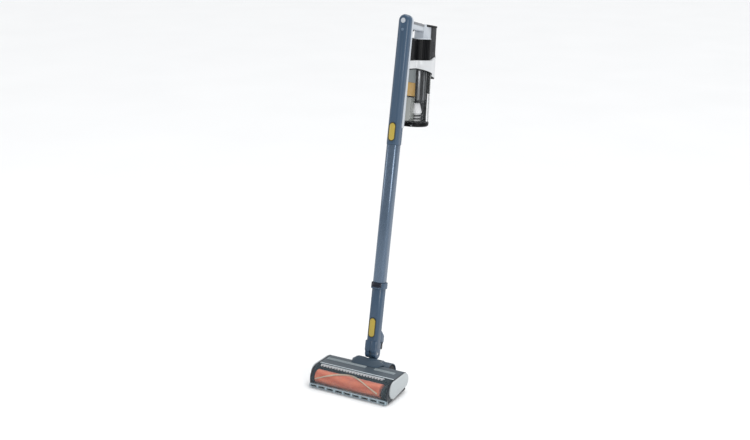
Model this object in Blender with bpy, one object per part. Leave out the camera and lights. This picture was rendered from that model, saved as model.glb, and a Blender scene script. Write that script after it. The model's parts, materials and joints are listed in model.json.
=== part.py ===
"""Cordless stick vacuum: floor head, tilting neck, pull-out wand and a hand unit with a dust cup.

Metres, +Z up. The origin is on the floor, at the middle of the glide strip behind the brush.
The front of the floor head faces -Y. The stick leans back, so everything above the head is
modelled in the stick's own frame: x across, y towards the back, z up along the stick.
"""

from math import asin, atan2, cos, pi, radians, sin, sqrt

import bmesh
import bpy
from mathutils import Matrix, Vector

# ---- Driving dimensions -------------------------------------------------------------------
GAP = 0.0003  # left between two pieces that meet
WALL = 0.0022  # plastic wall

# Floor head
HEAD_WIDTH = 0.268
HEAD_TOP = 0.0605
HEAD_BACK = 0.062
HEAD_CORNER = 0.010
CAP_THICK = 0.0045
SIDE_THICK = 0.004
LIP_FRONT = -0.060
LIP_BACK = -0.052
LIP_LOW = 0.003
LIP_HIGH = 0.0137
SOLE_THICK = 0.003
WINDOW_RADIUS = 0.036
WINDOW_CENTRE = (-0.020, 0.0245)
WINDOW_EDGE = -0.006
BRUSH_CENTRE = (-0.027, 0.0257)
BRUSH_LEFT = -0.119
BRUSH_RIGHT = 0.097
ROLL_RADIUS = 0.0205
BRISTLE_RADIUS = 0.0243
BRISTLE_THICK = 0.0032
BRUSH_AXLE_RADIUS = 0.004
DRIVE_WIDTH = 0.009
PULLEY_RADIUS = 0.014
PINION_RADIUS = 0.005
BELT_THICK = 0.0016
BRUSH_MOTOR_RADIUS = 0.013
BRUSH_MOTOR_CENTRE = (0.033, 0.034)
BRUSH_MOTOR_LENGTH = 0.064
DUCT_HALF = 0.019
COMB_TEETH = 22
LIP_SLOTS = 9

# Saddle, turret and wheels behind the head
SADDLE_HALF = 0.053
SADDLE_TOP = 0.0745
SADDLE_START = 0.035
SADDLE_BACK = 0.116
TURRET_RADIUS = 0.0248
TURRET_LOW = 0.0443
TURRET_HIGH = 0.050
KNUCKLE_HALF = 0.0042
KNUCKLE_RADIUS = 0.0135
PIN_RADIUS = 0.0035
SADDLE_WAIST = 0.0435
WHEEL_RADIUS = 0.025
WHEEL_WIDTH = 0.014
WHEEL_INNER = 0.0455
WHEEL_Y = 0.0935
FENDER_RADIUS = 0.0305
FENDER_THICK = 0.003
AXLE_RADIUS = 0.003

# Stick frame: a point on its axis, its lean and the stations along it
STICK_Y = 0.0991
STICK_Z = 0.1338
LEAN = radians(11.61)
STICK_HALF = 0.018
STICK_DEPTH = 0.0185
STICK_CORNER = 0.012
HINGE_S = -0.054
NECK_LOW = -0.036
COLLAR_LOW = 0.142
COLLAR_HIGH = 0.160
WAND_TOP = 0.568
SOCKET_TOP = WAND_TOP + 0.050
SPINE_TOP = WAND_TOP + 0.375
FORK_HALF = 0.0174
FORK_RADIUS = 0.0155
PLUG_HALF = 0.013
PLUG_FRONT = -0.0115
PLUG_REACH = 0.033
BUTTON_WIDTH = 0.018
BUTTON_PROUD = 0.0018
BUTTON_DEPTH = 0.0048
LOWER_BUTTON = (-0.002, 0.053)
UPPER_BUTTON = (WAND_TOP + 0.012, WAND_TOP + 0.062)

# Hand unit. The pod, which is the motor, the cup and the battery, leans a little less than the
# stick. Its frame has its origin on the cup axis: y is the distance behind it, z the height.
CUP_RADIUS = 0.0424
POD_B = CUP_RADIUS + 0.0630
POD_S = WAND_TOP + 0.1783
POD_TILT = radians(6.3)
CUP_WALL = 0.0020
CUP_LOW = -0.1112
CUP_HIGH = 0.064
DOOR_THICK = 0.0085
DOOR_PIN = (-CUP_RADIUS - 0.0054, -0.1155)
RING_RADIUS = CUP_RADIUS + 0.0028
RING_TOP = 0.0765
RING_MIDDLE_LOW = 0.0420
RING_SLOPE = -0.28
TAIL_BACK = CUP_RADIUS + 0.0371
TAIL_HALF = 0.022
TAIL_EAR = 0.0068
SEAL_THICK = 0.0026
MOTOR_RADIUS = CUP_RADIUS - 0.0050
MOTOR_TOP = 0.137
RIBS = 36
RIB_DEPTH = 0.0016
LID_THICK = 0.0022
COLUMN_BACK = CUP_RADIUS + 0.0061
BATTERY_FRONT = CUP_RADIUS + 0.0073
BATTERY_BACK = CUP_RADIUS + 0.0391
BATTERY_HALF = 0.018
CAP_FRONT = 0.0192
CAP_BACK = CUP_RADIUS + 0.0444
CAP_LOW = 0.1736
CAP_THICKNESS = 0.0066
CAP_DROP = 0.005
ARM_LOW = 0.0535
BLOCK_HALF = 0.0172
BLOCK_LOW = -0.1065
SPINE_BACK = 0.0145
RAIL_DEPTH = 0.006
RAIL_TOP = WAND_TOP + 0.332

# Handle, in the stick frame
GRIP_LOW = WAND_TOP + 0.336
GRIP_SPLIT = WAND_TOP + 0.351
GRIP_TOP = WAND_TOP + 0.3585
GRIP_HALF = 0.0152
GRIP_BACK = CUP_RADIUS + 0.0456
LATCH_LOW = WAND_TOP + 0.1450
LATCH_HIGH = WAND_TOP + 0.1840

# ---- Sizes that follow from the driving ones ----------------------------------------------
SPINE_MOUNT = SPINE_BACK + GAP  # where the handle meets the spine
BODY_HALF = HEAD_WIDTH / 2 - CAP_THICK - SIDE_THICK - 2 * GAP
RING_GAP = 0.0004  # round the cup
ROUND = 40  # sides of the large turned pieces
SMALL_ROUND = 20  # sides of pins, axles and rollers
DUCT_TOP = 0.042
CHAMBER_Y = 0.001
MOUTH_FRONT = -0.0495
MOUTH_BACK = -0.0045
SADDLE_LOW = 0.008
DRIVE_X = BRUSH_RIGHT + 0.004
BEARING_X = DRIVE_X + DRIVE_WIDTH + 0.002
BEARING_RADIUS = 0.0185
HINGE_Y = STICK_Y + HINGE_S * sin(LEAN)
HINGE_Z = STICK_Z + HINGE_S * cos(LEAN)
BUTTON_STROKE = 0.003
LATCH_STROKE = 0.003
SPINE_SPLIT = 0.0045
REAR_INSET = 0.0008
MODE_RADIUS = 0.0042
MODE_S = WAND_TOP + 0.331
BADGE_S = WAND_TOP + 0.3565
TRIGGER = (0.026, 0.046)
TRIGGER_HALF = 0.006
BATTERY_BUTTON = (0.140, 0.155)
DOOR_PIN_RADIUS = 0.0018
LID_LOW = MOTOR_TOP + GAP
MOTOR_BORE = MOTOR_RADIUS - RIB_DEPTH - WALL
BLOCK_RADIUS = CUP_RADIUS + 0.0008
BLOCK_BACK = -0.020
FAN_Z = RING_TOP + 0.048
SHROUD_LOW = -0.050


# ---- Materials ----------------------------------------------------------------------------
def plastic(name, colour, roughness=0.4, metallic=0.0, alpha=1.0):
    found = bpy.data.materials.get(name)
    if found:
        return found
    made = bpy.data.materials.new(name)
    made.use_nodes = True
    shader = made.node_tree.nodes["Principled BSDF"]
    shader.inputs["Base Color"].default_value = (*colour, 1)
    shader.inputs["Roughness"].default_value = roughness
    shader.inputs["Metallic"].default_value = metallic
    shader.inputs["Alpha"].default_value = alpha
    made.diffuse_color = (*colour, alpha)
    return made


def blue():
    return plastic("blue_plastic", (0.053, 0.098, 0.150), 0.35, 0.2)


def slate():
    return plastic("slate_plastic", (0.070, 0.090, 0.112), 0.42)


def silver():
    return plastic("silver_plastic", (0.47, 0.51, 0.55), 0.35, 0.3)


def black():
    return plastic("black_plastic", (0.020, 0.021, 0.023), 0.45)


def dark_grey():
    return plastic("dark_grey_plastic", (0.060, 0.063, 0.070), 0.55)


def clear():
    return plastic("clear_plastic", (0.80, 0.84, 0.86), 0.06, 0.0, 0.25)


def yellow():
    return plastic("yellow_plastic", (0.50, 0.39, 0.08), 0.4)


def white():
    return plastic("white_plastic", (0.82, 0.83, 0.84), 0.35)


def steel():
    return plastic("steel", (0.55, 0.56, 0.58), 0.3, 1.0)


# ---- Outlines -----------------------------------------------------------------------------
def arc(centre, radius, start, end, steps):
    """Points along an arc, angles in degrees."""
    turn = [radians(start + (end - start) * i / steps) for i in range(steps + 1)]
    return [(centre[0] + radius * cos(a), centre[1] + radius * sin(a)) for a in turn]


def rounded(low, high, radius, steps=4):
    """A rectangle from its low corner to its high corner, with round corners."""
    (x0, y0), (x1, y1) = low, high
    corners = (
        ((x1 - radius, y1 - radius), 0),
        ((x0 + radius, y1 - radius), 90),
        ((x0 + radius, y0 + radius), 180),
        ((x1 - radius, y0 + radius), 270),
    )
    points = []
    for centre, start in corners:
        points += arc(centre, radius, start, start + 90, steps)
    return points


def pill(middle, width, length, grow=0.0):
    """An upright slot with round ends, (x, z) points."""
    radius = width / 2 + grow
    reach = length / 2 - width / 2
    top = arc((middle[0], middle[1] + reach), radius, 0, 180, 8)
    return top + arc((middle[0], middle[1] - reach), radius, 180, 360, 8)


def belt_points(first, second, radius_1, radius_2, steps=12):
    """The tight loop round two circles, first at the right of the second."""
    across = Vector(first) - Vector(second)
    tilt = atan2(across.y, across.x)
    spread = asin((radius_2 - radius_1) / across.length)
    start = tilt - pi / 2 + spread
    end = tilt + pi / 2 - spread
    right = [start + (end - start) * i / steps for i in range(steps + 1)]
    left = [end + (2 * pi - end + start) * i / steps for i in range(steps + 1)]
    loop = [(first[0] + radius_1 * cos(a), first[1] + radius_1 * sin(a)) for a in right]
    return loop + [(second[0] + radius_2 * cos(a), second[1] + radius_2 * sin(a)) for a in left]


def arch(half, low, top, steps=12):
    """A bar with a half-round top, (x, z) points."""
    return [(-half, low), (half, low)] + arc((0, top - half), half, 0, 180, steps)


def in_pod(b, s):
    """A (back, up) point of the stick frame, as (y, z) of the pod frame."""
    back, up = b - POD_B, s - POD_S
    turn = POD_TILT
    return (back * cos(turn) + up * sin(turn), up * cos(turn) - back * sin(turn))


def in_pod_level(y, s):
    """The height in the pod frame of the stick's level s, at a distance y behind the cup axis."""
    return (s - POD_S - y * sin(POD_TILT)) / cos(POD_TILT)


def pod_outline(inset):
    """The ring from above: a circle with a blunt tail behind it, (x, y) points."""
    corner, half, back = 0.006, TAIL_HALF - inset, TAIL_BACK - inset
    points = arc((0, 0), RING_RADIUS - inset, 55, -235, 28)
    points += arc((corner - half, back - corner), corner, 180, 90, 3)
    return points + arc((half - corner, back - corner), corner, 90, 0, 3)


def ring_arm(name, half, low, high, material):
    """The arm that carries the ring from the spine, before it is cut to fit."""
    return box(name, (-half, -0.12, low), (half, -CUP_RADIUS / 2, high), material)


def spine_space():
    """What the spine and its gap take up, in the pod's frame."""
    levels = (SOCKET_TOP - 0.03, RAIL_TOP, SPINE_TOP)
    outline = [in_pod(rail_back(level) + GAP, level) for level in levels]
    outline += [in_pod(-0.1, SPINE_TOP), in_pod(-0.1, levels[0])]
    return prism("spine_space", outline, "X", -0.06, 0.06, blue())


def link_block(name, low, high, radius, half, material):
    """A block between the spine and a round piece behind it, between two levels of the stick."""
    outline = [
        in_pod(0, low),
        (BLOCK_BACK, in_pod_level(BLOCK_BACK, low)),
        (BLOCK_BACK, in_pod_level(BLOCK_BACK, high)),
        in_pod(0, high),
    ]
    block = prism(name, outline, "X", -half, half, material)
    drum = disc("drum", radius, "Z", (0, 0), -0.3, 0.3, material, 48)
    return cut(block, spine_space(), drum)


# ---- Solids -------------------------------------------------------------------------------
AXES = {"X": (1, 2, 0), "Y": (0, 2, 1), "Z": (0, 1, 2)}


def on_axis(axis, point, along):
    """A 3-D point from a 2-D point across an axis and a distance along it."""
    first, second, third = AXES[axis]
    made = [0.0, 0.0, 0.0]
    made[first], made[second], made[third] = point[0], point[1], along
    return Vector(made)


def finish(name, bm, material):
    bmesh.ops.remove_doubles(bm, verts=bm.verts, dist=1e-6)
    bmesh.ops.recalc_face_normals(bm, faces=bm.faces)
    mesh = bpy.data.meshes.new(name)
    bm.to_mesh(mesh)
    bm.free()
    mesh.materials.append(material)
    mesh.shade_smooth()
    mesh.set_sharp_from_angle(angle=radians(30))
    made = bpy.data.objects.new(name, mesh)
    bpy.context.scene.collection.objects.link(made)
    return made


def prism(name, outline, axis, low, high, material):
    """An outline across an axis, extruded from low to high along it."""
    bm = bmesh.new()
    base = bm.faces.new([bm.verts.new(on_axis(axis, p, low)) for p in outline])
    grown = bmesh.ops.extrude_face_region(bm, geom=[base])
    moved = [item for item in grown["geom"] if isinstance(item, bmesh.types.BMVert)]
    bmesh.ops.translate(bm, verts=moved, vec=on_axis(axis, (0, 0), high - low))
    return finish(name, bm, material)


def box(name, low, high, material):
    """A box between two corners."""
    outline = [(low[0], low[1]), (high[0], low[1]), (high[0], high[1]), (low[0], high[1])]
    return prism(name, outline, "Z", low[2], high[2], material)


def turned(name, profile, axis, centre, material, sides=ROUND):
    """A closed (radius, distance) profile spun about an axis through centre."""
    bm = bmesh.new()
    ring = [bm.verts.new((radius, 0, along)) for radius, along in profile]
    edges = [bm.edges.new((a, b)) for a, b in zip(ring, ring[1:] + ring[:1])]
    bmesh.ops.spin(
        bm, geom=ring + edges, cent=(0, 0, 0), axis=(0, 0, 1), angle=2 * pi, steps=sides
    )
    bmesh.ops.remove_doubles(bm, verts=bm.verts, dist=1e-5)
    loose = [edge for edge in bm.edges if not edge.link_faces]
    bmesh.ops.delete(bm, geom=loose, context="EDGES")
    turn = {
        "X": Matrix.Rotation(pi / 2, 4, "Y"),
        "Y": Matrix.Rotation(-pi / 2, 4, "X"),
        "Z": Matrix.Identity(4),
    }
    place = Matrix.Translation(on_axis(axis, centre, 0)) @ turn[axis]
    bmesh.ops.transform(bm, matrix=place, verts=bm.verts)
    return finish(name, bm, material)


def disc(name, radius, axis, centre, low, high, material, sides=ROUND, edge=0.0):
    """A solid round with its two rims cut back by edge."""
    profile = [(0, low), (radius - edge, low), (radius, low + edge)]
    profile += [(radius, high - edge), (radius - edge, high), (0, high)]
    if edge == 0.0:
        profile = [(0, low), (radius, low), (radius, high), (0, high)]
    return turned(name, profile, axis, centre, material, sides)


def tube(name, inner, outer, axis, centre, low, high, material, sides=ROUND):
    profile = [(inner, low), (outer, low), (outer, high), (inner, high)]
    return turned(name, profile, axis, centre, material, sides)


def loft(name, sections, material):
    """Closed sections with the same number of points, joined end to end and capped."""
    bm = bmesh.new()
    rings = [[bm.verts.new(p) for p in section] for section in sections]
    for one, two in zip(rings, rings[1:]):
        for i in range(len(one)):
            j = (i + 1) % len(one)
            bm.faces.new((one[i], one[j], two[j], two[i]))
    bm.faces.new(rings[0])
    bm.faces.new(rings[-1])
    return finish(name, bm, material)


def soften(made, width, segments=2, keep=None):
    """Rounds the sharp edges of a piece; keep(a, b) picks edges by their end points."""
    bm = bmesh.new()
    bm.from_mesh(made.data)
    sharp = [e for e in bm.edges if e.calc_face_angle(0) > radians(40)]
    if keep:
        sharp = [e for e in sharp if keep(e.verts[0].co, e.verts[1].co)]
    bmesh.ops.bevel(bm, geom=sharp, offset=width, segments=segments, profile=0.5, affect="EDGES")
    bmesh.ops.remove_doubles(bm, verts=bm.verts, dist=2e-6)
    bm.to_mesh(made.data)
    bm.free()
    made.data.set_sharp_from_angle(angle=radians(30))
    return made


def combine(made, other, operation):
    """Joins other to a piece, cuts it out, or keeps what they share, and removes other."""
    modifier = made.modifiers.new(operation.lower(), "BOOLEAN")
    modifier.operation = operation
    modifier.solver = "EXACT"
    modifier.object = other
    graph = bpy.context.evaluated_depsgraph_get()
    mesh = bpy.data.meshes.new_from_object(made.evaluated_get(graph))
    made.modifiers.clear()
    made.data = mesh
    bpy.data.objects.remove(other)
    return made


def cut(made, *cutters):
    for cutter in cutters:
        combine(made, cutter, "DIFFERENCE")
    return made


def join(made, *others):
    for other in others:
        combine(made, other, "UNION")
    return made


def frame(name, location=(0, 0, 0), lean=0.0, parent=None):
    """An empty that its pieces are placed under."""
    made = bpy.data.objects.new(name, None)
    made.location = location
    made.rotation_euler = (-lean, 0, 0)
    made.parent = parent
    bpy.context.scene.collection.objects.link(made)
    return made


def place(parent, pieces, origin=(0, 0, 0)):
    """Puts pieces under a frame, with their origin at a point of it."""
    shift = Matrix.Translation(-Vector(origin))
    for piece in pieces:
        piece.data.transform(shift)
        piece.location = origin
        piece.parent = parent


# ---- Floor head ---------------------------------------------------------------------------
def head_profile(inset=0.0):
    """Side view of the head's outside, (y, z), from the bottom front, clockwise from the right."""
    y, z = WINDOW_CENTRE
    front = arc((y, z), WINDOW_RADIUS - inset, 180, 90, 12)
    corner = (HEAD_BACK - HEAD_CORNER, HEAD_TOP - HEAD_CORNER)
    back = arc(corner, HEAD_CORNER - inset, 90, 0, 4)
    return front, back


def brush_window():
    outer, _ = head_profile()
    inner, _ = head_profile(WALL)
    low = LIP_HIGH + GAP
    outline = [(outer[0][0], low)] + outer + [(WINDOW_EDGE - GAP, HEAD_TOP)]
    outline += [(WINDOW_EDGE - GAP, HEAD_TOP - WALL)] + inner[::-1] + [(inner[0][0], low)]
    return prism("brush_window", outline, "X", -BODY_HALF, BODY_HALF, clear())


def nozzle_top_cover():
    _, outer = head_profile()
    _, inner = head_profile(WALL)
    low = LIP_LOW + SOLE_THICK + GAP
    outline = [(WINDOW_EDGE, HEAD_TOP)] + outer + [(HEAD_BACK, low)]
    outline += [(HEAD_BACK - WALL, low)] + inner[::-1] + [(WINDOW_EDGE, HEAD_TOP - WALL)]
    cover = prism("nozzle_top_cover", outline, "X", -BODY_HALF, BODY_HALF, slate())
    reach = DUCT_HALF + WALL + GAP
    opening = box(
        "opening",
        (-reach, HEAD_BACK - 3 * WALL, 0),
        (reach, HEAD_BACK + WALL, DUCT_TOP + GAP),
        slate(),
    )
    return cut(cover, opening)


def sole_plate():
    low = (-BODY_HALF, LIP_BACK + GAP)
    plate = prism(
        "sole_plate",
        [low, (BODY_HALF, low[1]), (BODY_HALF, HEAD_BACK), (-BODY_HALF, HEAD_BACK)],
        "Z",
        LIP_LOW,
        LIP_LOW + SOLE_THICK,
        black(),
    )
    mouth = box("mouth", (BRUSH_LEFT, MOUTH_FRONT, 0), (BRUSH_RIGHT, MOUTH_BACK, 0.02), black())
    return cut(plate, mouth)


def front_bumper():
    """A clear lip with a row of slots that let crumbs in."""
    half = HEAD_WIDTH / 2 - SIDE_THICK
    lip = box("front_bumper", (-half, LIP_FRONT, LIP_LOW), (half, LIP_BACK, LIP_HIGH), clear())
    soften(lip, 0.002, 2, lambda a, b: a.y < LIP_FRONT + 1e-6 and b.y < LIP_FRONT + 1e-6)
    pitch = 2 * half / LIP_SLOTS
    for i in range(LIP_SLOTS):
        middle = -half + (i + 0.5) * pitch
        reach = 0.31 * pitch
        slot = box(
            "slot",
            (middle - reach, LIP_FRONT - 0.01, LIP_LOW + 0.0028),
            (middle + reach, LIP_BACK + 0.01, LIP_HIGH - 0.0034),
            clear(),
        )
        cut(lip, slot)
    return lip


def side_outline():
    front, back = head_profile()
    start = LIP_BACK + GAP
    dip = [(HEAD_BACK, HEAD_TOP / 2), (HEAD_BACK - 0.006, 0.017), (0.034, 0.0075)]
    dip += [(-0.012, 0.006), (start, LIP_LOW)]
    return front + back + dip + [(start, LIP_HIGH + GAP), (front[0][0], LIP_HIGH + GAP)]


def end_cap_outline():
    """A flat-topped D: a large round at the front, a smaller one at the back."""
    front = arc((-0.019, 0.035), 0.026, 90, 265, 14)
    return front + arc((0.044, 0.039), 0.022, -70, 90, 12)


def head_ends():
    made = []
    for side, word in ((-1, "left"), (1, "right")):
        inner = side * (BODY_HALF + GAP)
        outer = side * (BODY_HALF + GAP + SIDE_THICK)
        low, high = sorted((inner, outer))
        made.append(prism("side_plate_" + word, side_outline(), "X", low, high, black()))
        low, high = sorted((outer + side * GAP, side * HEAD_WIDTH / 2))
        cap = prism("end_cap_" + word, end_cap_outline(), "X", low, high, silver())
        face = side * HEAD_WIDTH / 2
        made.append(soften(cap, 0.0015, 2, lambda a, b: a.x == b.x and abs(a.x - face) < 1e-6))
    return made


def brush_chamber():
    """The wall behind the brush with the air duct that leaves through the back."""
    floor = LIP_LOW + SOLE_THICK + GAP
    wall = box(
        "brush_chamber_wall",
        (-BODY_HALF, CHAMBER_Y, floor),
        (BRUSH_RIGHT, CHAMBER_Y + WALL, HEAD_TOP - WALL - GAP),
        dark_grey(),
    )
    low, high = -DUCT_HALF - WALL, DUCT_HALF + WALL
    duct = box("duct", (low, CHAMBER_Y, floor), (high, HEAD_BACK, DUCT_TOP), dark_grey())
    bore = box(
        "bore",
        (-DUCT_HALF, CHAMBER_Y - WALL, floor + WALL),
        (DUCT_HALF, HEAD_BACK + WALL, DUCT_TOP - WALL),
        dark_grey(),
    )
    return cut(join(wall, duct), bore)


def brush_comb():
    """A bar with teeth that lift hair off the brush."""
    left, right = BRUSH_LEFT + 0.002, BRUSH_RIGHT - 0.002
    back, root, tip = WINDOW_EDGE - 0.002, WINDOW_EDGE - 0.006, WINDOW_EDGE - 0.0135
    pitch = (right - left) / COMB_TEETH
    points = [(right, root), (right, back), (left, back), (left, root)]
    for i in range(COMB_TEETH):
        middle = left + (i + 0.5) * pitch
        for x, y in ((-0.30, root), (-0.22, tip), (0.22, tip), (0.30, root)):
            points.append((middle + x * pitch, y))
    high = HEAD_TOP - WALL - GAP
    return prism("brush_comb", points, "Z", high - 0.003, high, white())


def bristle_strip(name, start):
    """A V-shaped helical strip standing on the roll."""
    left, right = BRUSH_LEFT + 0.004, BRUSH_RIGHT - 0.004
    middle = (left + right) / 2
    sections = []
    steps = 32
    for i in range(steps + 1):
        x = left + (right - left) * i / steps
        angle = start + 1.9 * abs(x - middle) / (right - middle)
        half = BRISTLE_THICK / 2
        section = []
        for radius, side in ((ROLL_RADIUS + GAP, -half), (BRISTLE_RADIUS, -half)):
            section.append((radius, side))
        section += [(BRISTLE_RADIUS, half), (ROLL_RADIUS + GAP, half)]
        points = []
        for radius, side in section:
            y = BRUSH_CENTRE[0] + radius * cos(angle) - side * sin(angle)
            z = BRUSH_CENTRE[1] + radius * sin(angle) + side * cos(angle)
            points.append((x, y, z))
        sections.append(points)
    return loft(name, sections, white())


def brush_pieces():
    red = plastic("brush_fabric", (0.56, 0.13, 0.09), 0.9)
    stub = BRUSH_LEFT - 0.003
    long_end = BEARING_X + 0.006
    profile = [
        (0, stub),
        (BRUSH_AXLE_RADIUS, stub),
        (BRUSH_AXLE_RADIUS, BRUSH_LEFT),
        (ROLL_RADIUS, BRUSH_LEFT),
        (ROLL_RADIUS, BRUSH_RIGHT),
        (BRUSH_AXLE_RADIUS, BRUSH_RIGHT),
        (BRUSH_AXLE_RADIUS, long_end),
        (0, long_end),
    ]
    roll = turned("brush_roll", profile, "X", BRUSH_CENTRE, red, 32)
    pulley = tube(
        "brush_pulley",
        BRUSH_AXLE_RADIUS + GAP,
        PULLEY_RADIUS,
        "X",
        BRUSH_CENTRE,
        DRIVE_X,
        DRIVE_X + DRIVE_WIDTH,
        dark_grey(),
        32,
    )
    strips = [bristle_strip("bristle_strip_1", 1.2), bristle_strip("bristle_strip_2", 1.2 + pi)]
    return [roll, pulley] + strips


def brush_drive_cover():
    """The block at the right end that holds the brush's bearing."""
    block = disc(
        "brush_bearing_block",
        BEARING_RADIUS,
        "X",
        BRUSH_CENTRE,
        BEARING_X,
        BODY_HALF - GAP,
        black(),
        28,
    )
    bore = disc(
        "bore",
        BRUSH_AXLE_RADIUS + GAP,
        "X",
        BRUSH_CENTRE,
        BEARING_X - 0.002,
        BEARING_X + 0.007,
        black(),
        SMALL_ROUND,
    )
    return cut(block, bore)


def brush_motor():
    left = DUCT_HALF + WALL + 0.004
    shape = disc(
        "brush_motor",
        BRUSH_MOTOR_RADIUS,
        "X",
        BRUSH_MOTOR_CENTRE,
        left,
        left + BRUSH_MOTOR_LENGTH,
        steel(),
        28,
        0.001,
    )
    return shape


def motor_pinion():
    left = DUCT_HALF + WALL + 0.004 + BRUSH_MOTOR_LENGTH + GAP
    profile = [(0, left), (0.002, left), (0.002, DRIVE_X), (PINION_RADIUS, DRIVE_X)]
    end = DRIVE_X + DRIVE_WIDTH
    profile += [(PINION_RADIUS, end), (0, end)]
    return turned("motor_pinion", profile, "X", BRUSH_MOTOR_CENTRE, steel(), SMALL_ROUND)


def drive_belt():
    inner = belt_points(
        BRUSH_MOTOR_CENTRE, BRUSH_CENTRE, PINION_RADIUS + GAP, PULLEY_RADIUS + GAP
    )
    outer = belt_points(
        BRUSH_MOTOR_CENTRE,
        BRUSH_CENTRE,
        PINION_RADIUS + GAP + BELT_THICK,
        PULLEY_RADIUS + GAP + BELT_THICK,
    )
    low, high = DRIVE_X + 0.001, DRIVE_X + DRIVE_WIDTH - 0.001
    belt = prism("drive_belt", outer, "X", low, high, black())
    return cut(belt, prism("hole", inner, "X", low - 0.01, high + 0.01, black()))


def glide_strip():
    felt = plastic("felt", (0.12, 0.12, 0.13), 0.95)
    return box("glide_strip", (-0.090, -0.004, 0), (0.090, 0.004, LIP_LOW - GAP), felt)


# ---- Saddle, turret and wheels ------------------------------------------------------------
def saddle_section(y, half, low, shoulder, half_top, top):
    left = [(-half, y, low), (-half, y, shoulder), (-half_top, y, top)]
    return left + [(half_top, y, top), (half, y, shoulder), (half, y, low)]


def neck_saddle():
    """The fairing that rises from the head, carries the turret and covers the rear wheels."""
    top = HEAD_TOP + GAP
    step = HEAD_BACK + GAP
    waist = SADDLE_WAIST
    brow = 0.034
    sections = [
        saddle_section(SADDLE_START, SADDLE_HALF * 0.8, top, top + 0.0006, 0.016, top + 0.0012),
        saddle_section(step, SADDLE_HALF, top, top + 0.003, brow, SADDLE_TOP),
        saddle_section(step + GAP, SADDLE_HALF, SADDLE_LOW, top + 0.003, brow, SADDLE_TOP),
        saddle_section(step + 0.004, waist, SADDLE_LOW, top + 0.001, brow, SADDLE_TOP),
        saddle_section(HINGE_Y, waist, SADDLE_LOW, 0.052, brow - 0.004, 0.057),
        saddle_section(SADDLE_BACK, waist - 0.010, SADDLE_LOW, 0.040, brow - 0.010, 0.050),
    ]
    body = loft("neck_saddle", sections, slate())
    hub = (WHEEL_Y, WHEEL_RADIUS)
    outline = arc(hub, FENDER_RADIUS, -10, 190, 18)
    outline += arc(hub, FENDER_RADIUS - FENDER_THICK, 190, -10, 18)
    end = WHEEL_INNER + WHEEL_WIDTH + 0.001
    for low, high in ((0.030, end), (-end, -0.030)):
        fender = prism("fender", outline, "X", low, high, slate())
        front = box("front", (-0.1, 0, 0), (0.1, step, 0.1), slate())
        join(body, cut(fender, front))
    pocket = disc(
        "pocket", TURRET_RADIUS + 0.0006, "Z", (0, HINGE_Y), TURRET_LOW - GAP, 0.1, slate()
    )
    airway = box(
        "airway",
        (-DUCT_HALF + WALL, HEAD_BACK - 0.01, SADDLE_LOW + WALL),
        (DUCT_HALF - WALL, HINGE_Y + 0.001, DUCT_TOP - 2 * WALL),
        slate(),
    )
    riser = disc(
        "riser", 0.0085, "Z", (0, HINGE_Y - 0.008), SADDLE_LOW + 2 * WALL, TURRET_HIGH, slate(), 24
    )
    axle_hole = disc("axle_hole", AXLE_RADIUS + GAP, "X", hub, -0.1, 0.1, slate(), SMALL_ROUND)
    return cut(body, pocket, airway, riser, axle_hole)


def swivel_turret():
    """A disc turning on the saddle, with the knuckle that the neck tilts on."""
    plate = disc(
        "swivel_turret",
        TURRET_RADIUS,
        "Z",
        (0, HINGE_Y),
        TURRET_LOW,
        TURRET_HIGH,
        black(),
    )
    r = KNUCKLE_RADIUS
    base = TURRET_LOW + 0.002
    outline = [(HINGE_Y + r, base)] + arc((HINGE_Y, HINGE_Z), r, 0, 180, 14)
    outline.append((HINGE_Y - r, base))
    knuckle = prism("knuckle", outline, "X", -KNUCKLE_HALF, KNUCKLE_HALF, black())
    hole = disc(
        "hole", PIN_RADIUS + GAP, "X", (HINGE_Y, HINGE_Z), -0.02, 0.02, black(), SMALL_ROUND
    )
    return cut(join(plate, knuckle), hole)


def tilt_pin():
    half = FORK_HALF
    return disc(
        "tilt_pin", PIN_RADIUS, "X", (HINGE_Y, HINGE_Z), -half, half, steel(), SMALL_ROUND
    )


def rear_wheel(name, side):
    rubber = plastic("wheel_rubber", (0.035, 0.036, 0.040), 0.7)
    low, high = sorted((side * WHEEL_INNER, side * (WHEEL_INNER + WHEEL_WIDTH)))
    bore = AXLE_RADIUS + GAP
    r = WHEEL_RADIUS
    edge = 0.002
    profile = [(bore, low), (r - edge, low), (r, low + edge), (r, high - edge)]
    profile += [(r - edge, high), (bore, high)]
    return turned(name, profile, "X", (WHEEL_Y, WHEEL_RADIUS), rubber, 28)


def rear_axle():
    half = WHEEL_INNER + WHEEL_WIDTH
    return disc(
        "rear_axle",
        AXLE_RADIUS,
        "X",
        (WHEEL_Y, WHEEL_RADIUS),
        -half,
        half,
        steel(),
        SMALL_ROUND,
    )


# ---- Neck ---------------------------------------------------------------------------------
def stick_section(inset=0.0, front=None, back=None):
    """The stick's rounded section, (x, y) points."""
    half = STICK_HALF - inset
    low = -STICK_DEPTH + inset if front is None else front
    high = STICK_DEPTH - inset if back is None else back
    return rounded((-half, low), (half, high), STICK_CORNER - inset, 5)


def release_button(name, span):
    """A pill-shaped button, its front face slightly proud."""
    middle = (0, (span[0] + span[1]) / 2)
    outline = pill(middle, BUTTON_WIDTH, span[1] - span[0])
    front = -STICK_DEPTH - BUTTON_PROUD
    button = prism(name, outline, "Y", front, front + BUTTON_DEPTH, yellow())
    return soften(button, 0.001, 2, lambda a, b: a.y < front + 1e-6 and b.y < front + 1e-6)


def button_slot(span):
    middle = (0, (span[0] + span[1]) / 2)
    outline = pill(middle, BUTTON_WIDTH, span[1] - span[0], 0.0006)
    back = -STICK_DEPTH - BUTTON_PROUD + BUTTON_DEPTH + BUTTON_STROKE + GAP
    return prism("slot", outline, "Y", -STICK_DEPTH - 0.01, back, blue())


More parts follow.
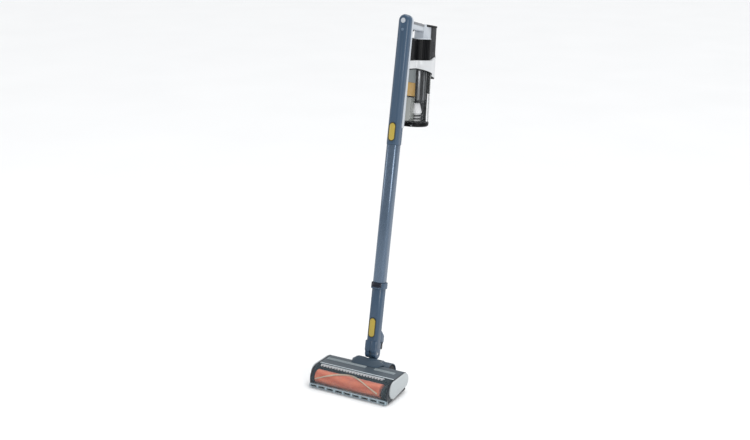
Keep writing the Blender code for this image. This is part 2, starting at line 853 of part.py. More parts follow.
def neck_body():
    """The neck: a socket for the wand at the top and a two-lobed fork at the hinge."""
    neck = prism("neck_body", stick_section(), "Z", NECK_LOW, COLLAR_LOW - GAP, blue())
    lobe_top = NECK_LOW + 0.012
    outline = arc((0, HINGE_S), FORK_RADIUS, 180, 360, 14)
    outline += [(FORK_RADIUS, lobe_top), (-FORK_RADIUS, lobe_top)]
    join(neck, prism("fork", outline, "X", -FORK_HALF, FORK_HALF, blue()))
    bulge = prism(
        "bulge",
        [
            (STICK_DEPTH - 0.004, NECK_LOW + 0.002),
            (STICK_DEPTH + 0.006, NECK_LOW + 0.006),
            (STICK_DEPTH + 0.009, NECK_LOW + 0.018),
            (STICK_DEPTH + 0.007, NECK_LOW + 0.030),
            (STICK_DEPTH - 0.004, NECK_LOW + 0.046),
        ],
        "X",
        -0.012,
        0.012,
        blue(),
    )
    join(neck, soften(bulge, 0.002, 1))
    low = (-PLUG_HALF - 0.0008, -PLUG_HALF - 0.0008)
    socket = prism(
        "socket",
        rounded(low, (PLUG_HALF + 0.0008, PLUG_HALF + 0.0008), 0.004, 3),
        "Z",
        COLLAR_LOW - PLUG_REACH,
        COLLAR_HIGH,
        blue(),
    )
    airway = disc(
        "airway", 0.0105, "Z", (0, 0.003), NECK_LOW + 0.012, COLLAR_LOW, blue(), 24
    )
    half = KNUCKLE_HALF + 0.0005
    slot = box(
        "slot", (-half, -0.03, HINGE_S - 0.03), (half, 0.03, HINGE_S + KNUCKLE_RADIUS + 0.0015), blue()
    )
    hole = disc(
        "hole", PIN_RADIUS + GAP, "X", (0, HINGE_S), -0.03, 0.03, blue(), SMALL_ROUND
    )
    return cut(neck, socket, airway, slot, hole, button_slot(LOWER_BUTTON))


def neck_collar():
    """The dark band that the wand plugs in through, with a lip in front."""
    outer = STICK_HALF + 0.003
    depth = STICK_DEPTH + 0.0025
    collar = prism(
        "neck_collar",
        rounded((-outer, -depth), (outer, depth), STICK_CORNER, 5),
        "Z",
        COLLAR_LOW,
        COLLAR_HIGH,
        slate(),
    )
    lip = box("lip", (-0.013, -depth - 0.007, COLLAR_LOW + 0.001), (0.013, 0, 0.152), slate())
    join(collar, soften(lip, 0.002, 2))
    reach = PLUG_HALF + 0.0008
    bore = prism(
        "bore",
        rounded((-reach, -reach), (reach, reach), 0.004, 3),
        "Z",
        COLLAR_LOW - 0.01,
        COLLAR_HIGH + 0.01,
        slate(),
    )
    return cut(collar, bore)


# ---- Wand ---------------------------------------------------------------------------------
def wand_tube():
    tube_blue = plastic("wand_finish", (0.040, 0.085, 0.150), 0.25, 0.6)
    low, high = COLLAR_HIGH + GAP, WAND_TOP - GAP
    outer = prism("wand_tube", stick_section(), "Z", low, high, tube_blue)
    inner = prism("inner", stick_section(WALL), "Z", low - 0.01, high + 0.01, tube_blue)
    return cut(outer, inner)


def wand_plug(name, low, high):
    """A hollow connector, half inside the wand and half in the socket it plugs into."""
    corner = (PLUG_HALF, PLUG_HALF)
    outline = rounded((-PLUG_HALF, PLUG_FRONT), corner, 0.004, 3)
    plug = prism(name, outline, "Z", low, high, black())
    inset = WALL
    bore = prism(
        "bore",
        rounded((-PLUG_HALF + inset, PLUG_FRONT + inset), (PLUG_HALF - inset,) * 2, 0.002, 3),
        "Z",
        low - 0.01,
        high + 0.01,
        black(),
    )
    return cut(plug, bore)


# ---- Hand unit: spine and handle ----------------------------------------------------------
def spine_block(name, inset, low, top, front, back, corner, material):
    """A bar with an arched top and rounded front edges."""
    half = STICK_HALF - inset
    block = prism(name, arch(half, low, top - inset), "Y", front, back, material)

    def front_rim(a, b):
        level = a.y < front + 1e-6 and b.y < front + 1e-6
        return level and not (a.z < low + 1e-6 and b.z < low + 1e-6)

    return soften(block, corner, 3, front_rim)


def spine_front_cover():
    low = WAND_TOP
    cover = spine_block(
        "spine_front_cover", 0, low, SPINE_TOP, -STICK_DEPTH, SPINE_SPLIT, 0.010, blue()
    )
    hollow = spine_block(
        "hollow",
        WALL,
        low - 0.01,
        SPINE_TOP,
        -STICK_DEPTH + WALL,
        SPINE_SPLIT + 0.01,
        0.0085,
        blue(),
    )
    cut(cover, hollow, button_slot(UPPER_BUTTON))
    hole = disc(
        "hole",
        MODE_RADIUS + GAP,
        "Y",
        (0, MODE_S),
        -STICK_DEPTH - 0.01,
        -STICK_DEPTH + 0.01,
        blue(),
        SMALL_ROUND,
    )
    return cut(cover, hole)


def rail_back(level):
    """How far behind the stick's axis the spine reaches at a level of the stick."""
    share = max(0, (RAIL_TOP - level) / (RAIL_TOP - SOCKET_TOP))
    return SPINE_BACK + RAIL_DEPTH * share


def spine_rear_shell():
    """The back of the spine, which thickens towards its lower end."""
    low = SOCKET_TOP + GAP
    deepest = rail_back(low)
    shell = prism(
        "spine_rear_shell",
        arch(STICK_HALF - REAR_INSET, low, SPINE_TOP - REAR_INSET),
        "Y",
        SPINE_SPLIT + GAP,
        deepest,
        silver(),
    )
    outline = [
        (deepest, low - GAP),
        (SPINE_BACK, RAIL_TOP),
        (SPINE_BACK, 1),
        (deepest + 0.01, 1),
        (deepest + 0.01, low - GAP),
    ]
    cut(shell, prism("slant", outline, "X", -0.05, 0.05, silver()))
    hollow = prism(
        "hollow",
        arch(STICK_HALF - REAR_INSET - WALL, low + WALL, SPINE_TOP - REAR_INSET - WALL),
        "Y",
        SPINE_SPLIT - 0.01,
        SPINE_BACK - WALL,
        silver(),
    )
    return cut(shell, hollow)


def socket_rear_cover():
    half = STICK_HALF
    low = (WAND_TOP, SPINE_SPLIT + GAP)
    cover = box(
        "socket_rear_cover",
        (-half, low[1], low[0]),
        (half, STICK_DEPTH, SOCKET_TOP),
        blue(),
    )

    def upright_back(a, b):
        return abs(a.z - b.z) > 0.01 and a.y > STICK_DEPTH - 1e-6

    soften(cover, 0.008, 3, upright_back)
    hollow = box(
        "hollow",
        (-half + 2 * WALL, 0, WAND_TOP - 0.01),
        (half - 2 * WALL, STICK_DEPTH - WALL, SOCKET_TOP - WALL),
        blue(),
    )
    return cut(cover, hollow)


def mode_button():
    front = -STICK_DEPTH - 0.0006
    return disc(
        "mode_button",
        MODE_RADIUS,
        "Y",
        (0, MODE_S),
        front,
        front + 0.004,
        white(),
        SMALL_ROUND,
        0.0004,
    )


def badge():
    """A plain round badge near the top."""
    front = -STICK_DEPTH - 0.0014
    return disc(
        "round_badge", 0.0072, "Y", (0, BADGE_S), front, -STICK_DEPTH - GAP, silver(), 24, 0.0004
    )


def grip_shell():
    shell = box(
        "grip_shell",
        (-GRIP_HALF, SPINE_MOUNT, GRIP_LOW),
        (GRIP_HALF, GRIP_BACK, GRIP_SPLIT - GAP),
        silver(),
    )

    def lower_long(a, b):
        return a.z < GRIP_LOW + 1e-6 and b.z < GRIP_LOW + 1e-6 and abs(a.x - b.x) < 1e-6

    soften(shell, 0.005, 3, lower_long)
    low, high = TRIGGER
    pocket = box(
        "pocket",
        (-TRIGGER_HALF - GAP, low - GAP, GRIP_LOW - 0.01),
        (TRIGGER_HALF + GAP, high + GAP, GRIP_LOW + 0.0085),
        silver(),
    )
    return cut(shell, pocket)


def grip_pad():
    pad = box(
        "grip_pad",
        (-GRIP_HALF - 0.0005, SPINE_MOUNT, GRIP_SPLIT),
        (GRIP_HALF + 0.0005, GRIP_BACK, GRIP_TOP),
        dark_grey(),
    )

    def upper_long(a, b):
        return a.z > GRIP_TOP - 1e-6 and b.z > GRIP_TOP - 1e-6 and abs(a.x - b.x) < 1e-6

    return soften(pad, 0.006, 3, upper_long)


def trigger():
    low, high = TRIGGER
    outline = [(low, GRIP_LOW + 0.004), (low, GRIP_LOW - 0.006), (low + 0.005, GRIP_LOW - 0.008)]
    outline += [(high - 0.003, GRIP_LOW - 0.004), (high, GRIP_LOW + 0.004)]
    made = prism("trigger", outline, "X", -TRIGGER_HALF, TRIGGER_HALF, dark_grey())
    return soften(made, 0.001, 1)


def cap_level(y):
    """The height of the battery cap's underside, which falls a little towards the back."""
    return CAP_LOW - CAP_DROP * (y - CAP_FRONT) / (CAP_BACK - CAP_FRONT)


def rear_column():
    """The silver column behind the finger gap, with the lid that closes the motor housing."""
    front_top = in_pod(GRIP_BACK + GAP, GRIP_TOP - 0.0005)
    outline = [
        front_top,
        (CAP_FRONT - GAP, cap_level(CAP_FRONT) + CAP_THICKNESS - 0.0005),
        (CAP_FRONT - GAP, cap_level(CAP_FRONT) - GAP),
        (COLUMN_BACK, cap_level(COLUMN_BACK) - GAP),
        (COLUMN_BACK, RING_TOP + GAP),
        (MOTOR_RADIUS + 0.003, RING_TOP + GAP),
        (MOTOR_RADIUS + 0.003, LID_LOW + LID_THICK / 2),
        (front_top[0] - 0.004, LID_LOW + LID_THICK / 2),
    ]
    column = prism("rear_column", outline, "X", -GRIP_HALF, GRIP_HALF, silver())
    lid = disc(
        "lid", MOTOR_RADIUS, "Z", (0, 0), LID_LOW, LID_LOW + LID_THICK, silver(), ROUND, 0.0007
    )
    return join(column, lid)


# ---- Hand unit: motor, ring and battery ---------------------------------------------------
def motor_housing():
    """A ribbed cylinder, open at both ends."""
    points = []
    for i in range(RIBS):
        for share, depth in ((0, 0), (0.5, 0), (0.56, RIB_DEPTH), (0.94, RIB_DEPTH)):
            angle = 2 * pi * (i + share) / RIBS
            radius = MOTOR_RADIUS - depth
            points.append((radius * cos(angle), radius * sin(angle)))
    low = RING_TOP + GAP
    housing = prism("motor_housing", points, "Z", low, MOTOR_TOP, black())
    hollow = disc("hollow", MOTOR_BORE, "Z", (0, 0), low - 0.01, MOTOR_TOP + 0.01, black())
    return cut(housing, hollow)


def slant_slab(low, high):
    """A slab between two heights of the ring's slanted lower edge, at the cup axis."""
    reach = 0.12
    outline = [
        (-reach, RING_MIDDLE_LOW + low - RING_SLOPE * reach),
        (reach, RING_MIDDLE_LOW + low + RING_SLOPE * reach),
        (reach, RING_MIDDLE_LOW + high + RING_SLOPE * reach),
        (-reach, RING_MIDDLE_LOW + high - RING_SLOPE * reach),
    ]
    return prism("slab", outline, "X", -0.08, 0.08, silver())


def ring_bore(radius):
    return disc("bore", radius, "Z", (0, 0), -0.05, RING_TOP - WALL, white(), 48)


def body_ring():
    """The band round the top of the cup, with the tail that the battery stands on."""
    ring = prism("body_ring", pod_outline(0), "Z", -0.02, RING_TOP, white())
    cut(ring, slant_slab(-0.2, 0))
    arm = ring_arm("arm", BLOCK_HALF, ARM_LOW, RING_TOP, white())
    cut(join(ring, arm), spine_space())
    ear = [
        (COLUMN_BACK, RING_TOP - 0.004),
        (TAIL_BACK - 0.006, RING_TOP - 0.004),
        (TAIL_BACK - 0.006, RING_TOP + TAIL_EAR * 0.8),
        (TAIL_BACK - 0.009, RING_TOP + TAIL_EAR),
        (COLUMN_BACK, RING_TOP - 0.001),
    ]
    inner = BATTERY_HALF + 0.0006
    for low, high in ((-TAIL_HALF + 0.0008, -inner), (inner, TAIL_HALF - 0.0008)):
        join(ring, prism("ear", ear, "X", low, high, white()))
    mouth = disc("mouth", MOTOR_BORE, "Z", (0, 0), 0, RING_TOP + 0.02, white(), 48)
    return cut(ring, ring_bore(CUP_RADIUS + RING_GAP), mouth)


def cup_seal():
    """The dark rubber line under the slanted edge of the ring."""
    seal = prism("cup_seal", pod_outline(0.0008), "Z", -0.02, RING_TOP, black())
    combine(seal, slant_slab(-SEAL_THICK - GAP, -GAP), "INTERSECT")
    top = ARM_LOW - GAP
    strip = ring_arm("strip", BLOCK_HALF - 0.0008, top - SEAL_THICK, top, black())
    above = ring_arm("above", BLOCK_HALF + GAP, top, RING_TOP, black())
    cut(join(seal, strip), above, slant_slab(-GAP, 0.2), spine_space())
    tail_front = CUP_RADIUS + 0.004
    inner = box(
        "inner",
        (-TAIL_HALF + 0.006, tail_front, -0.05),
        (TAIL_HALF - 0.006, TAIL_BACK - 0.006, RING_TOP),
        black(),
    )
    return cut(seal, ring_bore(CUP_RADIUS + RING_GAP), inner)


def battery_pack():
    low = RING_TOP + GAP
    back = BATTERY_BACK
    kink = back + 0.0025
    outline = [
        (BATTERY_FRONT, low),
        (kink, low),
        (kink, low + 0.008),
        (back, low + 0.018),
        (back, cap_level(back) - GAP),
        (BATTERY_FRONT, cap_level(BATTERY_FRONT) - GAP),
    ]
    pack = prism("battery_pack", outline, "X", -BATTERY_HALF, BATTERY_HALF, dark_grey())
    soften(pack, 0.003, 2, lambda a, b: a.x == b.x)
    low, high = BATTERY_BUTTON
    reach = 0.008 + GAP
    pocket = box(
        "pocket", (-reach, back - 0.005, low - GAP), (reach, back + 0.01, high + GAP), dark_grey()
    )
    return cut(pack, pocket)


def battery_cap():
    corners = ((CAP_FRONT, 0), (CAP_BACK, 0), (CAP_BACK, 1), (CAP_FRONT, 1))
    outline = [(y, cap_level(y) + CAP_THICKNESS * top) for y, top in corners]
    half = BATTERY_HALF - 0.0015
    cap = prism("battery_cap", outline, "X", -half, half, black())
    return soften(cap, 0.0015, 2, lambda a, b: a.x == b.x)


def battery_release():
    low, high = BATTERY_BUTTON
    back = BATTERY_BACK + 0.0012
    made = box("battery_release", (-0.008, back - 0.004, low), (0.008, back, high), silver())
    return soften(made, 0.0008, 1, lambda a, b: min(a.y, b.y) > back - 1e-6)


def motor_bridge():
    """The black arm from the spine to the motor housing, above the ring."""
    top = POD_S + (MOTOR_TOP - 0.004) * cos(POD_TILT)
    radius = MOTOR_RADIUS + GAP
    bridge = link_block("motor_bridge", LATCH_HIGH, top, radius, BLOCK_HALF - 0.001, black())
    return cut(bridge, box("ring", (-0.1, -0.2, -0.1), (0.1, 0.1, RING_TOP + GAP), black()))


def upper_duct():
    """The grey block under the ring's arm, above the cup's release button."""
    low = LATCH_HIGH + GAP
    duct = link_block("upper_duct", low, RAIL_TOP, BLOCK_RADIUS, BLOCK_HALF, dark_grey())
    above = ring_arm("above", 0.03, ARM_LOW - SEAL_THICK - 2 * GAP, 0.2, dark_grey())
    return cut(duct, slant_slab(-SEAL_THICK - 2 * GAP, 0.2), above)


def cup_release_button():
    gold = plastic("gold_plastic", (0.45, 0.31, 0.14), 0.35, 0.2)
    return link_block(
        "cup_release_button", LATCH_LOW, LATCH_HIGH, BLOCK_RADIUS, BLOCK_HALF - GAP, gold
    )


def inlet_duct():
    """The lower block between the spine and the cup that carries the dusty air in."""
    smoke = plastic("smoke_plastic", (0.20, 0.22, 0.22), 0.2, 0.0, 0.6)
    top = LATCH_LOW - LATCH_STROKE - 0.001
    low = POD_S + BLOCK_LOW * cos(POD_TILT)
    return link_block("inlet_duct", low, top, BLOCK_RADIUS, BLOCK_HALF, smoke)


def fan_motor():
    r, low = MOTOR_BORE - 0.0066, RING_TOP + 0.0015
    neck = r * 0.6
    profile = [(0, low), (r, low), (r, low + 0.038), (neck, low + 0.040), (neck, FAN_Z)]
    return turned("fan_motor", profile + [(0, FAN_Z)], "Z", (0, 0), steel(), 28)


def fan_impeller():
    """A hub with a disc and straight blades."""
    low = FAN_Z + GAP
    rim = MOTOR_BORE - 0.0096
    profile = [(0, low), (rim, low), (rim, low + 0.002), (0.007, low + 0.0035)]
    profile += [(0.005, low + 0.0085), (0, low + 0.0085)]
    hub = turned("fan_impeller", profile, "Z", (0, 0), steel(), 28)
    blades = 7
    for i in range(blades):
        blade = box(
            "blade", (0.003, -0.0007, low + 0.001), (rim - 0.0015, 0.0007, low + 0.0075), steel()
        )
        blade.data.transform(Matrix.Rotation(2 * pi * i / blades, 4, "Z"))
        join(hub, blade)
    return hub


def pre_motor_filter():
    foam = plastic("foam", (0.30, 0.36, 0.42), 0.95)
    radius = CUP_RADIUS - CUP_WALL - 0.001
    low, high = CUP_HIGH + GAP, RING_TOP - WALL - GAP
    return disc("pre_motor_filter", radius, "Z", (0, 0), low, high, foam, 32, 0.001)


# ---- Hand unit: dust cup ------------------------------------------------------------------
def pin_hole():
    radius = DOOR_PIN_RADIUS + GAP
    return disc("hole", radius, "X", DOOR_PIN, -0.02, 0.02, steel(), SMALL_ROUND)


def dust_cup():
    """A clear tube with two lugs for the door's hinge pin."""
    inside = CUP_RADIUS - CUP_WALL
    cup = tube("dust_cup", inside, CUP_RADIUS, "Z", (0, 0), CUP_LOW, CUP_HIGH, clear(), 48)
    pin_y, pin_z = DOOR_PIN
    high = CUP_LOW + 0.003
    for low_x, high_x in ((-0.0165, -0.0129), (0.0129, 0.0165)):
        lug = box("lug", (low_x, pin_y - 0.004, pin_z - 0.004), (high_x, pin_y + 0.004, high), clear())
        reach = -sqrt((inside + CUP_WALL / 2) ** 2 - max(abs(low_x), abs(high_x)) ** 2)
        foot = box("foot", (low_x, pin_y, CUP_LOW + 0.0005), (high_x, reach, high), clear())
        join(cup, lug, foot)
    return cut(cup, pin_hole())


def cup_door():
    top = CUP_LOW - GAP
    low = top - DOOR_THICK
    profile = [(0, low), (CUP_RADIUS - 0.004, low), (CUP_RADIUS, low + 0.0035)]
    profile += [(CUP_RADIUS, top), (0, top)]
    door = turned("cup_door", profile, "Z", (0, 0), black(), 48)
    pin_y, pin_z = DOOR_PIN
    half = 0.0125
    tongue = box(
        "tongue", (-half, pin_y, pin_z - 0.0028), (half, 0.006 - CUP_RADIUS, pin_z + 0.0028), black()
    )
    barrel = disc("barrel", 0.0034, "X", DOOR_PIN, -half, half, black(), SMALL_ROUND)
    return cut(join(door, tongue, barrel), pin_hole())


def door_hinge_pin():
    return disc(
        "door_hinge_pin", DOOR_PIN_RADIUS, "X", DOOR_PIN, -0.016, 0.016, steel(), SMALL_ROUND
    )


def door_latch():
    front = CUP_RADIUS + GAP
    low = CUP_LOW - DOOR_THICK
    outline = [
        (front, low + 0.002),
        (front + 0.005, low - 0.001),
        (front + 0.005, low + 0.004),
        (front + 0.003, low + 0.022),
        (front, low + 0.024),
    ]
    return prism("door_latch", outline, "X", -0.007, 0.007, black())


def cyclone_shroud():
    """The black drum hanging from a flange inside the cup."""
    rim = CUP_RADIUS - CUP_WALL - 0.001
    drum = CUP_RADIUS - 0.0144
    low, high = SHROUD_LOW, CUP_HIGH - 0.002
    profile = [(0, low), (drum - 0.004, low), (drum, low + 0.008), (drum, high - 0.009)]
    profile += [(rim, high - 0.005), (rim, high), (0, high)]
    return turned("cyclone_shroud", profile, "Z", (0, 0), black())


def cyclone_cone():
    """A stack of rings with a cone above them, standing under the drum."""
    low = CUP_LOW + 0.003
    ring = CUP_RADIUS - 0.0184
    waist = ring - 0.006
    profile = [(0, low)]
    for i in range(3):
        base = low + 0.009 * i
        profile += [(ring, base), (ring, base + 0.0045), (waist, base + 0.0045)]
        profile.append((waist, base + 0.009))
    profile += [(ring - 0.003, low + 0.028), (ring - 0.011, SHROUD_LOW - GAP), (0, SHROUD_LOW - GAP)]
    return turned("cyclone_cone", profile, "Z", (0, 0), white(), 32)


def build_head():
    head = frame("head")
    place(
        head,
        [
            sole_plate(),
            nozzle_top_cover(),
            brush_window(),
            front_bumper(),
            brush_chamber(),
            brush_comb(),
            brush_drive_cover(),
            brush_motor(),
            drive_belt(),
            glide_strip(),
            neck_saddle(),
            rear_axle(),
        ]
        + head_ends(),
    )
    place(head, brush_pieces(), (0, *BRUSH_CENTRE))
    place(head, [motor_pinion()], (0, *BRUSH_MOTOR_CENTRE))
    wheels = [rear_wheel("rear_wheel_left", -1), rear_wheel("rear_wheel_right", 1)]
    place(head, wheels, (0, WHEEL_Y, WHEEL_RADIUS))
    place(head, [swivel_turret(), tilt_pin()], (0, HINGE_Y, HINGE_Z))


def build_stick():
    stick = frame("stick", (0, STICK_Y, STICK_Z), LEAN)
    hinge = (0, 0, HINGE_S)
    place(stick, [neck_body(), neck_collar()], hinge)
    place(stick, [release_button("lower_release_button", LOWER_BUTTON)], (0, 0, LOWER_BUTTON[0]))
    lower = wand_plug("wand_lower_plug", COLLAR_LOW - PLUG_REACH + 0.002, COLLAR_HIGH + 0.025)
    upper = wand_plug("wand_upper_plug", WAND_TOP - 0.025, WAND_TOP + PLUG_REACH)
    place(stick, [wand_tube(), lower, upper], (0, 0, COLLAR_HIGH))
    return stick


def build_hand_unit(stick):
    seat = (0, 0, WAND_TOP)
    fixed = [
        spine_front_cover(),
        spine_rear_shell(),
        socket_rear_cover(),
        badge(),
        grip_shell(),
        grip_pad(),
    ]
    place(stick, fixed, seat)
    place(stick, [release_button("upper_release_button", UPPER_BUTTON)], (0, 0, UPPER_BUTTON[0]))
    place(stick, [mode_button()], (0, -STICK_DEPTH, MODE_S))
    place(stick, [trigger()], (0, TRIGGER[0], GRIP_LOW))


def build_pod(stick):
    pod = frame("pod", (0, POD_B, POD_S), -POD_TILT, stick)
    fixed = [
        rear_column(),
        motor_housing(),
        body_ring(),
        cup_seal(),
        motor_bridge(),
        fan_motor(),
        pre_motor_filter(),
        upper_duct(),
        inlet_duct(),
    ]
    place(pod, fixed, (0, 0, RING_TOP))
    place(pod, [cup_release_button()], (0, -BLOCK_RADIUS, 0))
    place(pod, [battery_pack(), battery_cap()], (0, BATTERY_FRONT, RING_TOP))
    place(pod, [battery_release()], (0, BATTERY_BACK, BATTERY_BUTTON[0]))
    place(pod, [fan_impeller()], (0, 0, FAN_Z))
    cup = [dust_cup(), door_hinge_pin(), cyclone_shroud(), cyclone_cone()]
    place(pod, cup, (0, 0, CUP_LOW))
    place(pod, [cup_door()], (0, *DOOR_PIN))
    place(pod, [door_latch()], (0, CUP_RADIUS, CUP_LOW))


def main():
    for old in list(bpy.data.objects):
        bpy.data.objects.remove(old)
    build_head()
    stick = build_stick()
    build_hand_unit(stick)
    build_pod(stick)


main()
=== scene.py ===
import json
from math import cos, pi, radians, sin

import bpy
from mathutils import Matrix, Vector


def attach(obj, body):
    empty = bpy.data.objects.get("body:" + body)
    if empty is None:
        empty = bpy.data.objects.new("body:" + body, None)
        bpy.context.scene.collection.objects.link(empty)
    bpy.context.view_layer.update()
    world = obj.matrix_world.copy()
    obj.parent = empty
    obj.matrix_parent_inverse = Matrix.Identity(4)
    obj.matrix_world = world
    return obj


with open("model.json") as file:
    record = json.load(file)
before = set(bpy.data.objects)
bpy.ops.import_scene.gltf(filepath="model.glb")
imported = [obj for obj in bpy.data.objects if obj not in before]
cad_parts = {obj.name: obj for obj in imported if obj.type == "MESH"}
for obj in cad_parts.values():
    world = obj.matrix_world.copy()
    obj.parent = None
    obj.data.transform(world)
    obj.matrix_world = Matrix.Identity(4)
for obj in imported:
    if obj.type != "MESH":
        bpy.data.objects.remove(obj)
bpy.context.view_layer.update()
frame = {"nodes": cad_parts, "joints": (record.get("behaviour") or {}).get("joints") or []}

JOINTS = {joint["name"]: joint for joint in frame["joints"]}


# ---- Where things are ---------------------------------------------------------------------
def leaning(up, origin):
    """A frame whose z is up, x stays across and y points to the back."""
    up = Vector(up).normalized()
    back = Vector((0, up.z, -up.y))
    columns = Matrix((Vector((1, 0, 0)), back, up)).transposed()
    return Matrix.Translation(Vector(origin)) @ columns.to_4x4()


PULL = Vector(JOINTS["wand_pull"]["axis"]).normalized()
STICK_RISE = 0.054  # from the tilt pin up to the stick's origin
STICK = leaning(PULL, Vector(JOINTS["neck_tilt"]["pos_m"]) + STICK_RISE * PULL)
LIFT = Vector(JOINTS["battery_lift"]["axis"]).normalized()
FAN_RISE = 0.1245  # from the pod's origin up to the fan
POD = leaning(LIFT, Vector(JOINTS["fan_spin"]["pos_m"]) - FAN_RISE * LIFT)
HEAD = Matrix.Identity(4)


def span(node, place=HEAD):
    """The lowest and highest corners of a CAD node in a leaning frame."""
    back = place.inverted()
    points = [back @ vertex.co for vertex in frame["nodes"][node].data.vertices]
    low = Vector([min(p[i] for p in points) for i in range(3)])
    return low, Vector([max(p[i] for p in points) for i in range(3)])


# ---- Camera, floor and light --------------------------------------------------------------
def tint(red, green, blue):
    """A colour given as screen values of 0 to 255."""
    def linear(value):
        value /= 255
        return value / 12.92 if value <= 0.04045 else ((value + 0.055) / 1.055) ** 2.4

    return (linear(red), linear(green), linear(blue))


def set_camera():
    """A camera in front and to the right, looking down on the leaning stick."""
    data = bpy.data.cameras.new("camera")
    camera = bpy.data.objects.new("camera", data)
    bpy.context.scene.collection.objects.link(camera)
    around, away, height = radians(30.68), 2.8178, 1.3359
    dip, turn = radians(16.243), radians(29.642)
    camera.location = (sin(around) * away, -cos(around) * away, height)
    camera.rotation_euler = (pi / 2 - dip, 0, turn)
    data.lens = 50.47
    data.clip_end = 200
    bpy.context.scene.camera = camera


def lamp(name, place, aim, size, power):
    """A soft square lamp that points at a place."""
    data = bpy.data.lights.new(name, "AREA")
    data.size, data.energy = size, power
    made = bpy.data.objects.new(name, data)
    bpy.context.scene.collection.objects.link(made)
    made.location = place
    made.rotation_euler = (Vector(aim) - Vector(place)).to_track_quat("-Z", "Y").to_euler()


def light_studio():
    """A pale surround, a soft sun and two square lamps."""
    scene = bpy.context.scene
    scene.view_settings.view_transform = "Standard"
    world = bpy.data.worlds.new("studio")
    scene.world = world
    world.use_nodes = True
    background = world.node_tree.nodes["Background"]
    background.inputs["Color"].default_value = (0.98, 0.99, 1, 1)
    background.inputs["Strength"].default_value = 0.58
    data = bpy.data.lights.new("sky_light", "SUN")
    data.energy, data.angle = 2.25, radians(48)
    sky = bpy.data.objects.new("sky_light", data)
    bpy.context.scene.collection.objects.link(sky)
    sky.rotation_euler = (radians(-24), radians(8), 0)
    lamp("key_light", place=(2.6, -1.5, 1.5), aim=(0, 0.15, 0.7), size=1.3, power=34)
    lamp("fill_light", place=(-2.4, -1.6, 1.3), aim=(0, 0.1, 0.5), size=1.0, power=9)


# ---- Shader maths -------------------------------------------------------------------------
class Wire:
    """The output of a node in a finish. Arithmetic on it adds Math nodes."""

    def __init__(self, finish, socket):
        self.finish = finish
        self.socket = socket

    def maths(self, operation, *values):
        return self.finish.node("ShaderNodeMath", {"operation": operation}, *values)

    def __add__(self, other):
        return self.maths("ADD", self, other)

    __radd__ = __add__

    def __mul__(self, other):
        return self.maths("MULTIPLY", self, other)

    __rmul__ = __mul__

    def __sub__(self, other):
        return self.maths("SUBTRACT", self, other)

    def __rsub__(self, other):
        return self.maths("SUBTRACT", other, self)

    def __gt__(self, other):
        return self.maths("GREATER_THAN", self, other)

    def __lt__(self, other):
        return self.maths("LESS_THAN", self, other)

    def __mod__(self, other):
        return self.maths("FLOORED_MODULO", self, other)

    def __abs__(self):
        return self.maths("ABSOLUTE", self)


MIX_LOW, MIX_HIGH, MIX_COLOUR = 6, 7, 2  # where a Mix node keeps its colours


class Finish:
    """A procedural material with a Principled shader."""

    def __init__(self, name, **settings):
        self.material = bpy.data.materials.new(name)
        self.material.use_nodes = True
        self.tree = self.material.node_tree
        self.shader = self.tree.nodes["Principled BSDF"]
        self.place = self.node("ShaderNodeTexCoord", {}, out="Object")
        for socket, value in settings.items():
            self.put(socket.replace("_", " "), value)

    def feed(self, socket, value):
        """Links a wire to a socket, or sets the socket to a number, a vector or a colour."""
        if isinstance(value, Wire):
            self.tree.links.new(value.socket, socket)
        elif isinstance(value, tuple):
            socket.default_value = (*value, 1)
        else:
            socket.default_value = value

    def put(self, name, value):
        """Links or sets one of the shader's own sockets."""
        self.feed(self.shader.inputs[name], value)

    def node(self, kind, settings, *values, out=0, **named):
        """Adds a node: its settings first, then its sockets by number and by name."""
        made = self.tree.nodes.new(kind)
        for key, value in settings.items():
            setattr(made, key, value)
        for key, value in list(enumerate(values)) + list(named.items()):
            self.feed(made.inputs[key], value)
        return Wire(self, made.outputs[out])

    def noise(self, scale, detail=3.0, rough=0.55, place=None):
        return self.node(
            "ShaderNodeTexNoise",
            {},
            Vector=place or self.place,
            Scale=scale,
            Detail=detail,
            Roughness=rough,
        )

    def cells(self, scale, out="Distance"):
        return self.node("ShaderNodeTexVoronoi", {}, Vector=self.place, Scale=scale, out=out)

    def stretched(self, scale):
        """The object's own coordinates, stretched by a factor on each axis."""
        return self.node("ShaderNodeMapping", {}, self.place, Scale=Vector(scale))

    def axes(self):
        """The object's own x, y and z."""
        made = self.node("ShaderNodeSeparateXYZ", {}, self.place)
        return [Wire(self, output) for output in made.socket.node.outputs]

    def along(self, axis, centre):
        """The distance along an axis from a plane through a centre."""
        settings = {"operation": "DOT_PRODUCT"}
        made = self.node("ShaderNodeVectorMath", settings, self.place, axis, out="Value")
        return made - axis.dot(centre)

    def mixed(self, share, low, high):
        """A colour between two colours."""
        made = self.node("ShaderNodeMix", {"data_type": "RGBA"}, share, out=MIX_COLOUR)
        sockets = made.socket.node.inputs
        self.feed(sockets[MIX_LOW], low)
        self.feed(sockets[MIX_HIGH], high)
        return made

    def bump(self, height, distance, strength=1.0):
        made = self.node(
            "ShaderNodeBump", {}, Strength=strength, Distance=distance, Height=height
        )
        self.put("Normal", made)


def shade(colour, factor):
    """A colour made darker or lighter."""
    return tuple(min(1.0, channel * factor) for channel in colour)


GRAIN_SCALE = 1400.0  # the fine grain of a moulded surface
FINISHES = {}


def finish(name):
    """Makes a finish the first time that it is asked for."""
    if name not in FINISHES:
        FINISHES[name] = RECIPES[name](name)
    return FINISHES[name].material


